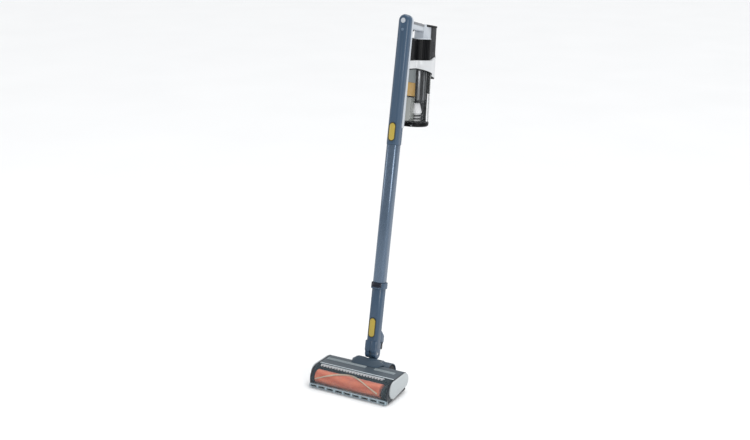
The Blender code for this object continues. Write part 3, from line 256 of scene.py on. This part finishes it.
def moulded(colour, rough, grain=0.00004, metallic=0.0, coat=0.0, vary=0.10, shine=0.35):
    """Moulded plastic with a fine grain, faint flow marks and handling marks in its gloss."""
    def make(name):
        gloss = {"Coat_Weight": coat, "Coat_Roughness": 0.12, "Specular_IOR_Level": shine}
        made = Finish(name, Metallic=metallic, **gloss)
        cloud = made.noise(9.0, 4.0)
        made.put("Base Color", made.mixed(cloud, shade(colour, 1 - vary), shade(colour, 1 + vary)))
        smudge = made.noise(38.0, 5.0, 0.65)
        made.put("Roughness", rough - 0.06 + 0.12 * smudge)
        made.bump(made.noise(GRAIN_SCALE, 2.0), grain)
        return made

    return make


def wand_paint(name):
    """Lacquered metal: fine flake under a clear coat, with faint lengthwise polishing."""
    made = Finish(name, Metallic=0.55, Coat_Weight=0.6, Coat_Roughness=0.06)
    flake = made.cells(2600.0, out="Color")
    grain = made.noise(60.0, 4.0, place=made.stretched((6, 6, 0.4)))
    deep, bright = tint(64, 82, 104), tint(100, 120, 140)
    value = made.node("ShaderNodeRGBToBW", {}, flake)
    made.put("Base Color", made.mixed(value * 0.18 + grain * 0.62, deep, bright))
    made.put("Roughness", 0.20 + 0.14 * grain)
    made.bump(grain, 0.00002)
    return made


PAINTED_SHADE_TURN = 30.7  # degrees about the pod from straight back to the middle of the painted shade
SLAT_GLINT_TURN = 42.7  # degrees about the pod from straight ahead to the first slat, set where a reflection falls on the drum


def moulding_marks(made):
    """Faint flow lines and a few fine scratches in clear plastic."""
    flow = made.noise(22.0, 3.0, place=made.stretched((3, 3, 0.6)))
    scratch = made.noise(420.0, 2.0, place=made.stretched((1, 1, 0.04)))
    return flow, scratch


def cup_wall(name):
    """Clear plastic at the front and sides, with painted black shade over the back of the cup and a
    painted reflection that makes the side edges paler and more opaque.
    """
    made = Finish(name, Coat_Weight=0.6, Coat_Roughness=0.03, IOR=1.45)
    facing = POD.to_3x3() @ Matrix.Rotation(radians(PAINTED_SHADE_TURN), 3, "Z")
    across, depth, up = [column.copy() for column in facing.col]
    centre = POD.to_translation()
    side = abs(made.along(across, centre))
    far = made.along(depth, centre)
    level = made.along(up, centre)
    flow, scratch = moulding_marks(made)
    lower_reach, more_above, ripple = 0.0350, 0.0062, 0.0010
    step_level, top_level, back_from, glint_from = -0.024, 0.05, 0.004, 0.0385
    reach = lower_reach + more_above * (level > step_level) + ripple * flow
    # painted shade: the back of the cup is near black and nearly opaque, for the dark that shows through
    # it
    painted_shade = (far > back_from) * (side < reach) * (level < top_level)
    # painted reflection: the wall is paler and more opaque near its side edges
    rim = (side > glint_from) * (1 - painted_shade)
    made.put("Base Color", made.mixed(painted_shade, tint(150, 156, 158), tint(6, 7, 8)))
    made.put("Alpha", 0.03 + 0.03 * flow + 0.92 * painted_shade + 0.3 * rim)
    made.put("Roughness", 0.05 + 0.08 * scratch)
    made.bump(flow, 0.00005, 0.4)
    return made


def clear_wall(colour, alpha, rough=0.05):
    """Clear plastic with faint flow lines and a few fine scratches."""
    def make(name):
        made = Finish(name, Coat_Weight=1.0, Coat_Roughness=0.03, IOR=1.5)
        flow, scratch = moulding_marks(made)
        made.put("Base Color", made.mixed(flow, shade(colour, 0.92), shade(colour, 1.06)))
        made.put("Alpha", alpha - 0.04 + 0.08 * flow)
        made.put("Roughness", rough + 0.08 * scratch)
        made.bump(flow, 0.00005, 0.4)
        return made

    return make


def brush_pile(name):
    """Dense red nylon pile in chevron rows, with darker and lighter strands."""
    made = Finish(name, Specular_IOR_Level=0.2, Sheen_Weight=0.35, Sheen_Roughness=0.4)
    strands = made.noise(900.0, 3.0, 0.7, made.stretched((1, 0.35, 0.35)))
    tufts = made.noise(160.0, 4.0)
    low, high = span("brush_roll")
    middle = (low + high) / 2
    x, y, z = made.axes()
    angle = made.node("ShaderNodeMath", {"operation": "ARCTAN2"}, z - middle.z, y - middle.y)
    sweep = angle * 5 + abs(x - middle.x) * 46
    rows = made.node("ShaderNodeMath", {"operation": "SINE"}, sweep + tufts * 1.6) * 0.5 + 0.5
    share = strands * 0.45 + tufts * 0.35 + rows * 0.25
    made.put("Base Color", made.mixed(share, tint(168, 56, 38), tint(255, 156, 120)))
    made.put("Roughness", 0.75 + 0.2 * strands)
    made.bump(strands + tufts, 0.0006)
    return made


def bristle_nylon(name):
    """Cream bristles standing side by side."""
    made = Finish(name, Specular_IOR_Level=0.3)
    pitch = 0.0011
    comb = abs(made.axes()[0] % pitch - pitch / 2) * 1800
    fray = made.noise(700.0, 3.0)
    made.put("Base Color", made.mixed(comb * 0.6 + fray * 0.4, tint(176, 150, 118), tint(250, 238, 214)))
    made.put("Roughness", 0.55 + 0.25 * fray)
    made.bump(comb + fray, 0.0004)
    return made


def tyre_rubber(name):
    """Soft rubber with patches of dust."""
    made = Finish(name, Specular_IOR_Level=0.25)
    dust = made.noise(120.0, 5.0, 0.7)
    made.put("Base Color", made.mixed(dust, tint(26, 27, 29), tint(74, 75, 77)))
    made.put("Roughness", 0.72 + 0.2 * dust)
    made.bump(made.noise(900.0, 3.0), 0.00012)
    return made


def soft_grip(name):
    """Grey soft-touch rubber with a fine leather-like texture."""
    made = Finish(name, Specular_IOR_Level=0.35)
    cells = made.cells(900.0)
    wear = made.noise(45.0, 4.0)
    made.put("Base Color", made.mixed(wear, tint(104, 106, 110), tint(138, 140, 144)))
    made.put("Roughness", 0.62 + 0.2 * wear)
    made.bump(cells, 0.00018)
    return made


def brushed_metal(name):
    """Bare metal with a fine grain from side to side."""
    made = Finish(name, Metallic=1.0)
    grain = made.noise(300.0, 4.0, place=made.stretched((0.05, 1, 1)))
    made.put("Base Color", made.mixed(grain, tint(150, 152, 156), tint(205, 207, 210)))
    made.put("Roughness", 0.24 + 0.2 * grain)
    made.bump(grain, 0.00003)
    return made


def felt_strip(name):
    """Short grey felt."""
    made = Finish(name, Sheen_Weight=0.4, Specular_IOR_Level=0.15)
    fibre = made.noise(1300.0, 4.0, 0.8)
    made.put("Base Color", made.mixed(fibre, tint(60, 60, 64), tint(120, 120, 124)))
    made.put("Roughness", 0.85 + 0.1 * fibre)
    made.bump(fibre, 0.0003)
    return made


def filter_foam(name):
    """Open blue-grey foam."""
    made = Finish(name, Specular_IOR_Level=0.2)
    cells = made.cells(800.0)
    made.put("Base Color", made.mixed(cells * 1.4, tint(46, 60, 74), tint(120, 138, 152)))
    made.put("Roughness", 0.9 - 0.1 * cells)
    made.bump(cells, 0.0005)
    return made


def banded_cone(name):
    """White plastic above, black and white bands on the stack of rings below."""
    made = Finish(name, Coat_Weight=0.3, Coat_Roughness=0.1)
    foot = span("cyclone_cone", POD)[0].z
    up = POD.to_3x3() @ Vector((0, 0, 1))
    height = made.along(up, POD @ Vector((0, 0, foot)))
    pitch, dark_part, stack = 0.009, 0.0047, 0.0268
    band = ((height % pitch) < dark_part) * (height < stack)
    stain = made.noise(60.0, 4.0)
    white = made.mixed(stain, tint(222, 224, 226), tint(252, 252, 252))
    made.put("Base Color", made.mixed(band, white, tint(24, 25, 27)))
    made.put("Roughness", 0.28 + 0.14 * stain)
    made.bump(made.noise(900.0, 2.0), 0.00004)
    return made


def banded_collar(name):
    """Blue plastic with a dark band round the upper part, partly a dark seal where the wand enters and
    partly painted shadow; the band is left off the right side, where the light falls.
    """
    made = Finish(name, Coat_Weight=0.2, Coat_Roughness=0.12, Specular_IOR_Level=0.35)
    band_foot, lit_side_from = 0.1475, 0.0165
    level = made.along(PULL, STICK.to_translation())
    cloud = made.noise(9.0, 4.0)
    # painted shadow and seal: dark on the front and left, blue on the lit right side
    band = (level > band_foot) * (made.axes()[0] < lit_side_from)
    blue = made.mixed(cloud, tint(50, 71, 92), tint(60, 84, 108))
    made.put("Base Color", made.mixed(band, blue, tint(14, 20, 38)))
    made.put("Roughness", 0.34 + 0.1 * cloud)
    made.bump(made.noise(GRAIN_SCALE, 2.0), 0.00004)
    return made


def drum_mesh(name):
    """Black plastic pierced with fine round holes."""
    made = Finish(name, Specular_IOR_Level=0.25)
    open_hole = made.cells(520.0) < 0.28
    cloud = made.noise(30.0, 3.0)
    black = made.mixed(cloud, tint(14, 15, 17), tint(30, 31, 34))
    made.put("Base Color", made.mixed(open_hole, black, tint(8, 8, 9)))
    made.put("Roughness", 0.36 + 0.3 * open_hole)
    made.bump(1 - open_hole, 0.0003)
    return made


RECIPES = {
    "blue_shell": moulded(tint(56, 79, 102), 0.36, coat=0.2),
    "collar_blue": banded_collar,
    "wand_paint": wand_paint,
    "slate_shell": moulded(tint(66, 76, 84), 0.40, coat=0.1),
    "saddle_shell": moulded(tint(50, 66, 80), 0.42, coat=0.05),
    "slate_dark": moulded(tint(32, 38, 46), 0.34, coat=0.2),
    "silver_shell": moulded(tint(186, 192, 199), 0.34, coat=0.2, vary=0.05),
    "cap_shell": moulded(tint(176, 182, 184), 0.38, coat=0.15, vary=0.04),
    "black_shell": moulded(tint(16, 17, 19), 0.34, shine=0.12),
    "black_matte": moulded(tint(22, 23, 25), 0.55, 0.00008, shine=0.15),
    "battery_shell": moulded(tint(50, 51, 54), 0.50, 0.00010, shine=0.2),
    "groove_grey": moulded(tint(148, 158, 162), 0.36, coat=0.2),
    "slat_silver": moulded(tint(112, 114, 117), 0.32, metallic=0.7, coat=0.3),
    "duct_grey": moulded(tint(112, 118, 119), 0.42),
    "white_shell": moulded(tint(205, 207, 209), 0.32, coat=0.25, vary=0.03),
    "hose_rubber": moulded(tint(40, 38, 40), 0.5, 0.00008, shine=0.3),
    "lamp_grey": moulded(tint(96, 116, 138), 0.3, coat=0.3),
    "lip_frost": moulded(tint(150, 168, 178), 0.25, coat=0.6, vary=0.28),
    "trim_white": moulded(tint(196, 206, 212), 0.2, coat=0.6, vary=0.05),
    "yellow_button": moulded(tint(186, 163, 70), 0.40, coat=0.2),
    "olive_surround": moulded(tint(70, 66, 40), 0.5),
    "gold_button": moulded(tint(164, 130, 66), 0.34, coat=0.3),
    "window_clear": clear_wall(tint(120, 140, 150), 0.10),
    "lip_clear": clear_wall(tint(170, 188, 196), 0.42),
    "cup_clear": cup_wall,
    "duct_smoke": clear_wall(tint(128, 132, 128), 0.82, 0.15),
    "brush_pile": brush_pile,
    "bristle_nylon": bristle_nylon,
    "tyre_rubber": tyre_rubber,
    "soft_grip": soft_grip,
    "brushed_metal": brushed_metal,
    "felt_strip": felt_strip,
    "filter_foam": filter_foam,
    "banded_cone": banded_cone,
    "drum_mesh": drum_mesh,
}

NODE_FINISH = {
    "blue_shell": "spine_front_cover socket_rear_cover neck_body",
    "collar_blue": "neck_collar",
    "wand_paint": "wand_tube",
    "slate_shell": "nozzle_top_cover",
    "saddle_shell": "neck_saddle swivel_turret",
    "slate_dark": "side_plate_left side_plate_right",
    "silver_shell": "spine_rear_shell rear_column grip_shell round_badge battery_release",
    "cap_shell": "end_cap_left end_cap_right",
    "black_shell": "motor_housing motor_bridge cup_door door_latch battery_cap",
    "black_matte": "sole_plate wand_lower_plug wand_upper_plug cup_seal brush_bearing_block trigger",
    "battery_shell": "battery_pack brush_chamber_wall",
    "duct_grey": "upper_duct",
    "white_shell": "body_ring brush_comb",
    "lamp_grey": "mode_button",
    "yellow_button": "lower_release_button upper_release_button",
    "gold_button": "cup_release_button",
    "window_clear": "brush_window",
    "lip_clear": "front_bumper",
    "cup_clear": "dust_cup",
    "duct_smoke": "inlet_duct",
    "brush_pile": "brush_roll",
    "bristle_nylon": "bristle_strip_1 bristle_strip_2",
    "tyre_rubber": "rear_wheel_left rear_wheel_right drive_belt",
    "soft_grip": "grip_pad",
    "brushed_metal": (
        "rear_axle tilt_pin door_hinge_pin brush_motor motor_pinion brush_pulley fan_motor fan_impeller"
    ),
    "felt_strip": "glide_strip",
    "filter_foam": "pre_motor_filter",
    "banded_cone": "cyclone_cone",
    "drum_mesh": "cyclone_shroud",
}

ROUNDED = {
    "nozzle_top_cover": 0.0012,
    "neck_saddle": 0.0022,
    "neck_body": 0.0012,
    "neck_collar": 0.0010,
    "spine_front_cover": 0.0006,
    "spine_rear_shell": 0.0008,
    "wand_tube": 0.0006,
    "body_ring": 0.0007,
    "rear_column": 0.0010,
    "grip_shell": 0.0010,
    "grip_pad": 0.0008,
    "battery_pack": 0.0012,
    "battery_cap": 0.0006,
    "motor_bridge": 0.0010,
    "upper_duct": 0.0008,
    "cup_release_button": 0.0010,
    "inlet_duct": 0.0010,
    "end_cap_left": 0.0008,
    "end_cap_right": 0.0008,
    "side_plate_left": 0.0008,
    "side_plate_right": 0.0008,
    "front_bumper": 0.0006,
    "cup_door": 0.0008,
}


def refine(obj, width):
    """Joins a node's loose triangles, eases its edges and shades it smoothly."""
    select_only(obj)
    if obj.data.has_custom_normals:
        bpy.ops.mesh.customdata_custom_splitnormals_clear()
    for polygon in obj.data.polygons:
        polygon.use_smooth = True
    weld = obj.modifiers.new("weld", "WELD")
    weld.merge_threshold = 0.00001
    if width:
        bevel = obj.modifiers.new("bevel", "BEVEL")
        bevel.width, bevel.segments = width, 2
        bevel.limit_method, bevel.angle_limit = "ANGLE", radians(32)
        bevel.use_clamp_overlap = True
    split = obj.modifiers.new("split", "EDGE_SPLIT")
    split.split_angle = radians(38)


def dress_nodes():
    """Gives every node of the frame its finish and eases its edges."""
    for recipe, names in NODE_FINISH.items():
        for name in names.split():
            obj = frame["nodes"][name]
            obj.data.materials.clear()
            obj.data.materials.append(finish(recipe))
            refine(obj, ROUNDED.get(name, 0))


# ---- Modelling ----------------------------------------------------------------------------
def select_only(obj):
    bpy.ops.object.select_all(action="DESELECT")
    obj.select_set(True)
    bpy.context.view_layer.objects.active = obj


def cube(low, high):
    """A cube of a given box, ready to be shaped."""
    bpy.ops.object.select_all(action="DESELECT")
    low, high = Vector(low), Vector(high)
    bpy.ops.mesh.primitive_cube_add(size=1, location=(low + high) / 2)
    obj = bpy.context.object
    obj.scale = high - low
    bpy.ops.object.transform_apply(location=True, rotation=True, scale=True)
    return obj


def bevelled(obj, width):
    """Rounds all edges of a piece."""
    select_only(obj)
    bpy.ops.object.mode_set(mode="EDIT")
    bpy.ops.mesh.select_all(action="SELECT")
    bpy.ops.mesh.bevel(offset=width, segments=2, affect="EDGES")
    bpy.ops.object.mode_set(mode="OBJECT")
    return obj


def nothing_selected(obj, kind):
    """Clears the selection of a piece, for points, edges or faces."""
    select_only(obj)
    bpy.ops.object.mode_set(mode="EDIT")
    bpy.ops.mesh.select_mode(type=kind)
    bpy.ops.mesh.select_all(action="DESELECT")
    bpy.ops.object.mode_set(mode="OBJECT")


def points_where(obj, test):
    """Selects the points of a piece that pass a test, in edit mode."""
    nothing_selected(obj, "VERT")
    for point in obj.data.vertices:
        point.select = bool(test(point.co))
    bpy.ops.object.mode_set(mode="EDIT")


def edges_where(obj, test):
    """Selects the edges of a piece whose two ends pass a test, in edit mode."""
    nothing_selected(obj, "EDGE")
    points = obj.data.vertices
    for line in obj.data.edges:
        line.select = bool(test(*[points[i].co for i in line.vertices]))
    bpy.ops.object.mode_set(mode="EDIT")


def faces_where(obj, test):
    """Selects the faces of a piece that pass a test on their centre and normal, in edit mode."""
    nothing_selected(obj, "FACE")
    for polygon in obj.data.polygons:
        polygon.select = bool(test(polygon.center, polygon.normal))
    bpy.ops.object.mode_set(mode="EDIT")


def leave_edit():
    bpy.ops.object.mode_set(mode="OBJECT")


def drawn_up(stations, sides, closed=True):
    """A turned piece about z: a disc that is extruded and scaled from station to station."""
    bpy.ops.object.select_all(action="DESELECT")
    radius, height = stations[0]
    fill = "NGON" if closed else "NOTHING"
    bpy.ops.mesh.primitive_circle_add(
        vertices=sides, radius=radius, fill_type=fill, location=(0, 0, height)
    )
    obj = bpy.context.object
    bpy.ops.object.transform_apply(location=True)
    bpy.ops.object.mode_set(mode="EDIT")
    bpy.ops.mesh.select_all(action="SELECT")
    for (r0, z0), (r1, z1) in zip(stations, stations[1:]):
        rise = {"value": (0, 0, z1 - z0)}
        if closed:
            bpy.ops.mesh.extrude_region_move(TRANSFORM_OT_translate=rise)
        else:
            bpy.ops.mesh.extrude_edges_move(TRANSFORM_OT_translate=rise)
        if abs(r1 - r0) > 1e-7:
            factor = r1 / r0
            bpy.ops.transform.resize(value=(factor, factor, 1), center_override=(0, 0, z1))
    bpy.ops.mesh.select_all(action="SELECT")
    bpy.ops.mesh.normals_make_consistent(inside=False)
    bpy.ops.object.mode_set(mode="OBJECT")
    return obj


def joined(pieces):
    """Several pieces as one."""
    bpy.ops.object.select_all(action="DESELECT")
    for piece in pieces:
        piece.select_set(True)
    bpy.context.view_layer.objects.active = pieces[0]
    bpy.ops.object.join()
    return bpy.context.object


def copied(obj, turn):
    """A copy of a piece with its own mesh, moved by a matrix."""
    made = obj.copy()
    made.data = obj.data.copy()
    bpy.context.scene.collection.objects.link(made)
    made.data.transform(turn)
    return made


def fitted(obj, name, body, recipe, place=HEAD, smooth=38):
    """Puts a finished piece in its place on a body."""
    obj.data.transform(place @ obj.matrix_world)
    obj.matrix_world = Matrix.Identity(4)
    obj.name = obj.data.name = name
    obj.data.materials.clear()
    obj.data.materials.append(finish(recipe))
    select_only(obj)
    bpy.ops.object.shade_smooth_by_angle(angle=radians(smooth))
    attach(obj, body)


# ---- Floor head ---------------------------------------------------------------------------
def window_trim():
    """The bright line where the window meets the top cover."""
    low, high = span("brush_window")
    near = (low.x + 0.001, high.y - 0.0016, high.z - 0.0006)
    far = (high.x - 0.001, high.y + 0.0011, high.z + 0.0007)
    fitted(bevelled(cube(near, far), 0.0003), "window_trim", "head", "trim_white")


def lip_details():
    """The light edges and posts of the clear lip, and a black strip behind it as painted shadow in the
    lip's slots.
    """
    low, high = span("front_bumper")
    proud, left, right = low.y - 0.0003, low.x + 0.002, high.x - 0.002
    edge = cube((left, proud, high.z - 0.0012), (right, low.y + 0.0022, high.z + 0.0005))
    foot = cube((left, proud, low.z), (right, low.y + 0.0006, low.z + 0.0014))
    made = [bevelled(edge, 0.0004), bevelled(foot, 0.0003)]
    slots, half_post, inset = 9, 0.0022, 0.004
    pitch = (high.x - low.x) / slots
    for i in range(slots + 1):
        x = min(max(low.x + pitch * i, low.x + inset), high.x - inset)
        near = (x - half_post, proud, low.z + 0.001)
        far = (x + half_post, low.y + 0.0008, high.z - 0.0005)
        made.append(bevelled(cube(near, far), 0.0003))
    fitted(joined(made), "lip_trim", "head", "lip_frost")
    # painted shadow: a black strip behind the clear lip darkens its slots
    near = (low.x + 0.003, low.y + 0.0042, low.z + 0.0008)
    far = (high.x - 0.003, low.y + 0.0050, high.z - 0.0022)
    fitted(bevelled(cube(near, far), 0.0002), "lip_shadow_strip", "head", "black_matte")


INSERTS = ((-0.119, 0.012), (0.041, 0.108))  # the left and right end of each grooved insert
INSERT_FRONT, INSERT_BACK = 0.0225, 0.0345


def groove_strips():
    """Two grooved inserts on the top cover, either side of the neck."""
    top = span("nozzle_top_cover")[1].z
    rows, pitch, wide, end_gap = 4, 0.0026, 0.0013, 0.0012
    for number, (left, right) in enumerate(INSERTS, 1):
        panel = cube((left, INSERT_FRONT, top - 0.0004), (right, INSERT_BACK, top + 0.0008))
        faces_where(panel, lambda centre, normal: normal.z > 0.9)
        bpy.ops.mesh.inset(thickness=0.0007, depth=-0.0003)
        leave_edit()
        ribs = [panel]
        for row in range(rows):
            y = INSERT_FRONT + 0.0021 + pitch * row
            rib = cube((left + end_gap, y, top), (right - end_gap, y + wide, top + 0.0013))
            ribs.append(bevelled(rib, 0.0003))
        fitted(joined(ribs), "groove_strip_%d" % number, "head", "groove_grey")


def wheel_hubs():
    """Stepped hub caps on the rear wheels."""
    for side, sign in (("left", -1), ("right", 1)):
        low, high = span("rear_wheel_" + side)
        middle, radius = (low + high) / 2, (high.z - low.z) / 2
        face = high.x if side == "right" else -low.x
        stations = [
            (radius * 0.62, face - 0.0012),
            (radius * 0.60, face + 0.0004),
            (radius * 0.34, face + 0.0012),
            (radius * 0.30, face + 0.0006),
            (radius * 0.12, face + 0.0006),
        ]
        outward = Matrix.Rotation(sign * pi / 2, 4, "Y")
        turn = Matrix.Translation((0, middle.y, middle.z)) @ outward
        fitted(drawn_up(stations, 48), "wheel_hub_" + side, "wheel_" + side, "slate_shell", turn)


def hinge_hose():
    """The corrugated air hose at the back of the hinge."""
    rings, pitch, valley, crest = 6, 0.0038, 0.0078, 0.0094
    stations = []
    for ring in range(rings):
        z = pitch * ring
        stations += [(valley, z), (crest, z + 0.0010), (crest, z + 0.0022), (valley, z + 0.0032)]
    foot = Matrix.Translation((0.0085, 0.0225, -0.0435))
    place = STICK @ foot @ Matrix.Rotation(radians(-4), 4, "X")
    fitted(drawn_up(stations, 40), "hinge_hose", "neck", "hose_rubber", place, smooth=60)


def hinge_hood():
    """The hood at the back of the neck that the hose runs up into."""
    half, front, back, foot, top = 0.0160, 0.0140, 0.0340, -0.0270, 0.0130
    hood = cube((-half, front, foot), (half, back, top))
    for slope, level in ((0.0175, top), (0.0050, foot)):
        edges_where(
            hood,
            lambda *ends: all(end.y > back - 0.0001 and abs(end.z - level) < 1e-5 for end in ends),
        )
        bpy.ops.mesh.bevel(offset=slope, segments=1, affect="EDGES")
        leave_edit()
    faces_where(hood, lambda centre, normal: normal.z < -0.9)
    bpy.ops.mesh.inset(thickness=0.0022)
    bpy.ops.mesh.extrude_region_move(TRANSFORM_OT_translate={"value": (0, 0, 0.009)})
    leave_edit()
    fitted(bevelled(hood, 0.0009), "hinge_hood", "neck", "blue_shell", STICK)


def fork_lobes():
    """The pair of round-ended lobes that close the front of the fork."""
    half, apart, front, back, foot, top = 0.0084, 0.0088, -0.0192, -0.0128, -0.0500, -0.0150
    made = []
    for side in (-1, 1):
        x = apart * side
        lobe = cube((x - half, front, foot), (x + half, back, top))
        edges_where(lobe, lambda a, b: max(a.z, b.z) < foot + 0.001 and a.x == b.x)
        bpy.ops.mesh.bevel(offset=0.0080, segments=10, affect="EDGES")
        leave_edit()
        faces_where(lobe, lambda centre, normal: normal.y < -0.9)
        bpy.ops.mesh.inset(thickness=0.0009)
        bpy.ops.transform.translate(value=(0, -0.0007, 0))
        leave_edit()
        made.append(lobe)
    fitted(joined(made), "fork_lobes", "neck", "blue_shell", STICK, smooth=50)


def sole_screws():
    """Plain screw heads under the sole plate."""
    low, high = span("sole_plate")
    made = []
    for x in (low.x + 0.012, -0.03, 0.03, high.x - 0.012):
        for y in (high.y - 0.010, 0.012):
            head = drawn_up([(0.0026, 0), (0.0026, 0.0005), (0.0020, 0.0009)], 20)
            down = Matrix.Rotation(pi, 4, "X")
            head.data.transform(Matrix.Translation((x, y, low.z + 0.0002)) @ down)
            made.append(head)
    fitted(joined(made), "sole_screws", "head", "brushed_metal")


# ---- Stick --------------------------------------------------------------------------------
def button_surrounds():
    """The olive frames that the release buttons sit in."""
    margin, rim, sunk, deep = 0.0022, 0.0019, 0.0013, 0.0011
    for name, body in (("lower", "neck"), ("upper", "hand_unit")):
        low, high = span(name + "_release_button", STICK)
        half = (high.x - low.x) / 2
        stretch = (high.z - low.z) / 2 - half
        bpy.ops.object.select_all(action="DESELECT")
        bpy.ops.mesh.primitive_circle_add(vertices=48, radius=half + margin, fill_type="NGON")
        ring = bpy.context.object
        points_where(ring, lambda point: point.y > 0)
        bpy.ops.transform.translate(value=(0, stretch, 0))
        bpy.ops.mesh.select_all(action="INVERT")
        bpy.ops.transform.translate(value=(0, -stretch, 0))
        bpy.ops.mesh.select_mode(type="FACE")
        bpy.ops.mesh.select_all(action="SELECT")
        bpy.ops.mesh.inset(thickness=rim)
        bpy.ops.mesh.delete(type="FACE")
        bpy.ops.mesh.select_all(action="SELECT")
        bpy.ops.mesh.extrude_region_move(TRANSFORM_OT_translate={"value": (0, 0, deep)})
        bpy.ops.mesh.select_all(action="SELECT")
        bpy.ops.mesh.normals_make_consistent(inside=False)
        leave_edit()
        forward = Matrix.Rotation(pi / 2, 4, "X")
        turn = Matrix.Translation((0, low.y + sunk, (low.z + high.z) / 2)) @ forward
        fitted(ring, name + "_button_surround", body, "olive_surround", STICK @ turn)


def grip_ribs():
    """Cross ribs moulded into the soft pad."""
    low, high = span("grip_pad", STICK)
    count, end_gap, half, side_gap = 9, 0.010, 0.0009, 0.004
    made = []
    for i in range(count):
        y = low.y + end_gap + (high.y - low.y - 2 * end_gap) * i / (count - 1)
        near = (low.x + side_gap, y - half, high.z - 0.0006)
        far = (high.x - side_gap, y + half, high.z + 0.0005)
        made.append(bevelled(cube(near, far), 0.0004))
    fitted(joined(made), "grip_ribs", "hand_unit", "soft_grip", STICK)


def mode_lens():
    """A small lens over the mode button."""
    low, high = span("mode_button", STICK)
    wide = high.x - low.x
    stations = [(wide * 0.36, 0), (wide * 0.34, 0.0003), (wide * 0.2, 0.0006)]
    forward = Matrix.Rotation(pi / 2, 4, "X")
    turn = Matrix.Translation((0, low.y, (low.z + high.z) / 2)) @ forward
    fitted(drawn_up(stations, 32), "mode_lens", "mode_switch", "lamp_grey", STICK @ turn)


# ---- Pod ----------------------------------------------------------------------------------
def shroud_slats():
    """Bright upright slats round the drum in the cup, turned to stand where the drum shows its
    reflections: a painted reflection.
    """
    low, high = span("cyclone_shroud", POD)
    count, radius, half = 10, 0.0282, 0.0036
    near = (-half, -radius - 0.0006, low.z + 0.009)
    far = (half, -radius + 0.0010, high.z - 0.010)
    slat = bevelled(cube(near, far), 0.0005)
    # the slats are turned to where reflections fall on the drum: painted reflections
    slat.data.transform(Matrix.Rotation(radians(SLAT_GLINT_TURN), 4, "Z"))
    made = [slat]
    for i in range(1, count):
        made.append(copied(slat, Matrix.Rotation(2 * pi * i / count, 4, "Z")))
    fitted(joined(made), "shroud_slats", "cup", "slat_silver", POD)


def battery_slots():
    """Cooling slots in the two sides of the battery."""
    low, high = span("battery_pack", POD)
    rows, pitch, wide, depth = 7, 0.0042, 0.0018, 0.0004
    made = []
    for face in (low.x, high.x):
        for i in range(rows):
            z = low.z + 0.024 + pitch * i
            slot = cube((face - depth, low.y + 0.009, z), (face + depth, low.y + 0.022, z + wide))
            made.append(bevelled(slot, 0.0002))
    fitted(joined(made), "battery_slots", "battery", "black_matte", POD)


def cup_foot_band():
    """The black rim at the foot of the clear cup."""
    low, high = span("dust_cup", POD)
    outer = (high.x - low.x) / 2
    foot = span("cup_door", POD)[1].z
    stations = [
        (outer - 0.0021, foot + 0.0004),
        (outer + 0.0007, foot + 0.0004),
        (outer + 0.0007, foot + 0.0030),
        (outer + 0.0002, foot + 0.0036),
        (outer - 0.0021, foot + 0.0036),
    ]
    ring = drawn_up(stations + [stations[0]], 96, closed=False)
    fitted(ring, "cup_foot_band", "cup", "black_shell", POD)


# ---- The floor, and everything in order ---------------------------------------------------
def stage():
    """The pale floor."""
    bpy.ops.object.select_all(action="DESELECT")
    bpy.ops.mesh.primitive_plane_add(size=80)
    floor = bpy.context.object
    floor.name = "floor"
    made = Finish("floor_paint", Specular_IOR_Level=0.35)
    cloud = made.noise(1.5, 3.0)
    made.put("Base Color", made.mixed(cloud, (0.86, 0.865, 0.87), (0.89, 0.895, 0.90)))
    made.put("Roughness", 0.30 + 0.10 * cloud)
    floor.data.materials.append(made.material)


set_camera()
light_studio()
dress_nodes()
window_trim()
lip_details()
groove_strips()
wheel_hubs()
hinge_hose()
hinge_hood()
fork_lobes()
sole_screws()
button_surrounds()
grip_ribs()
mode_lens()
shroud_slats()
battery_slots()
cup_foot_band()
stage()
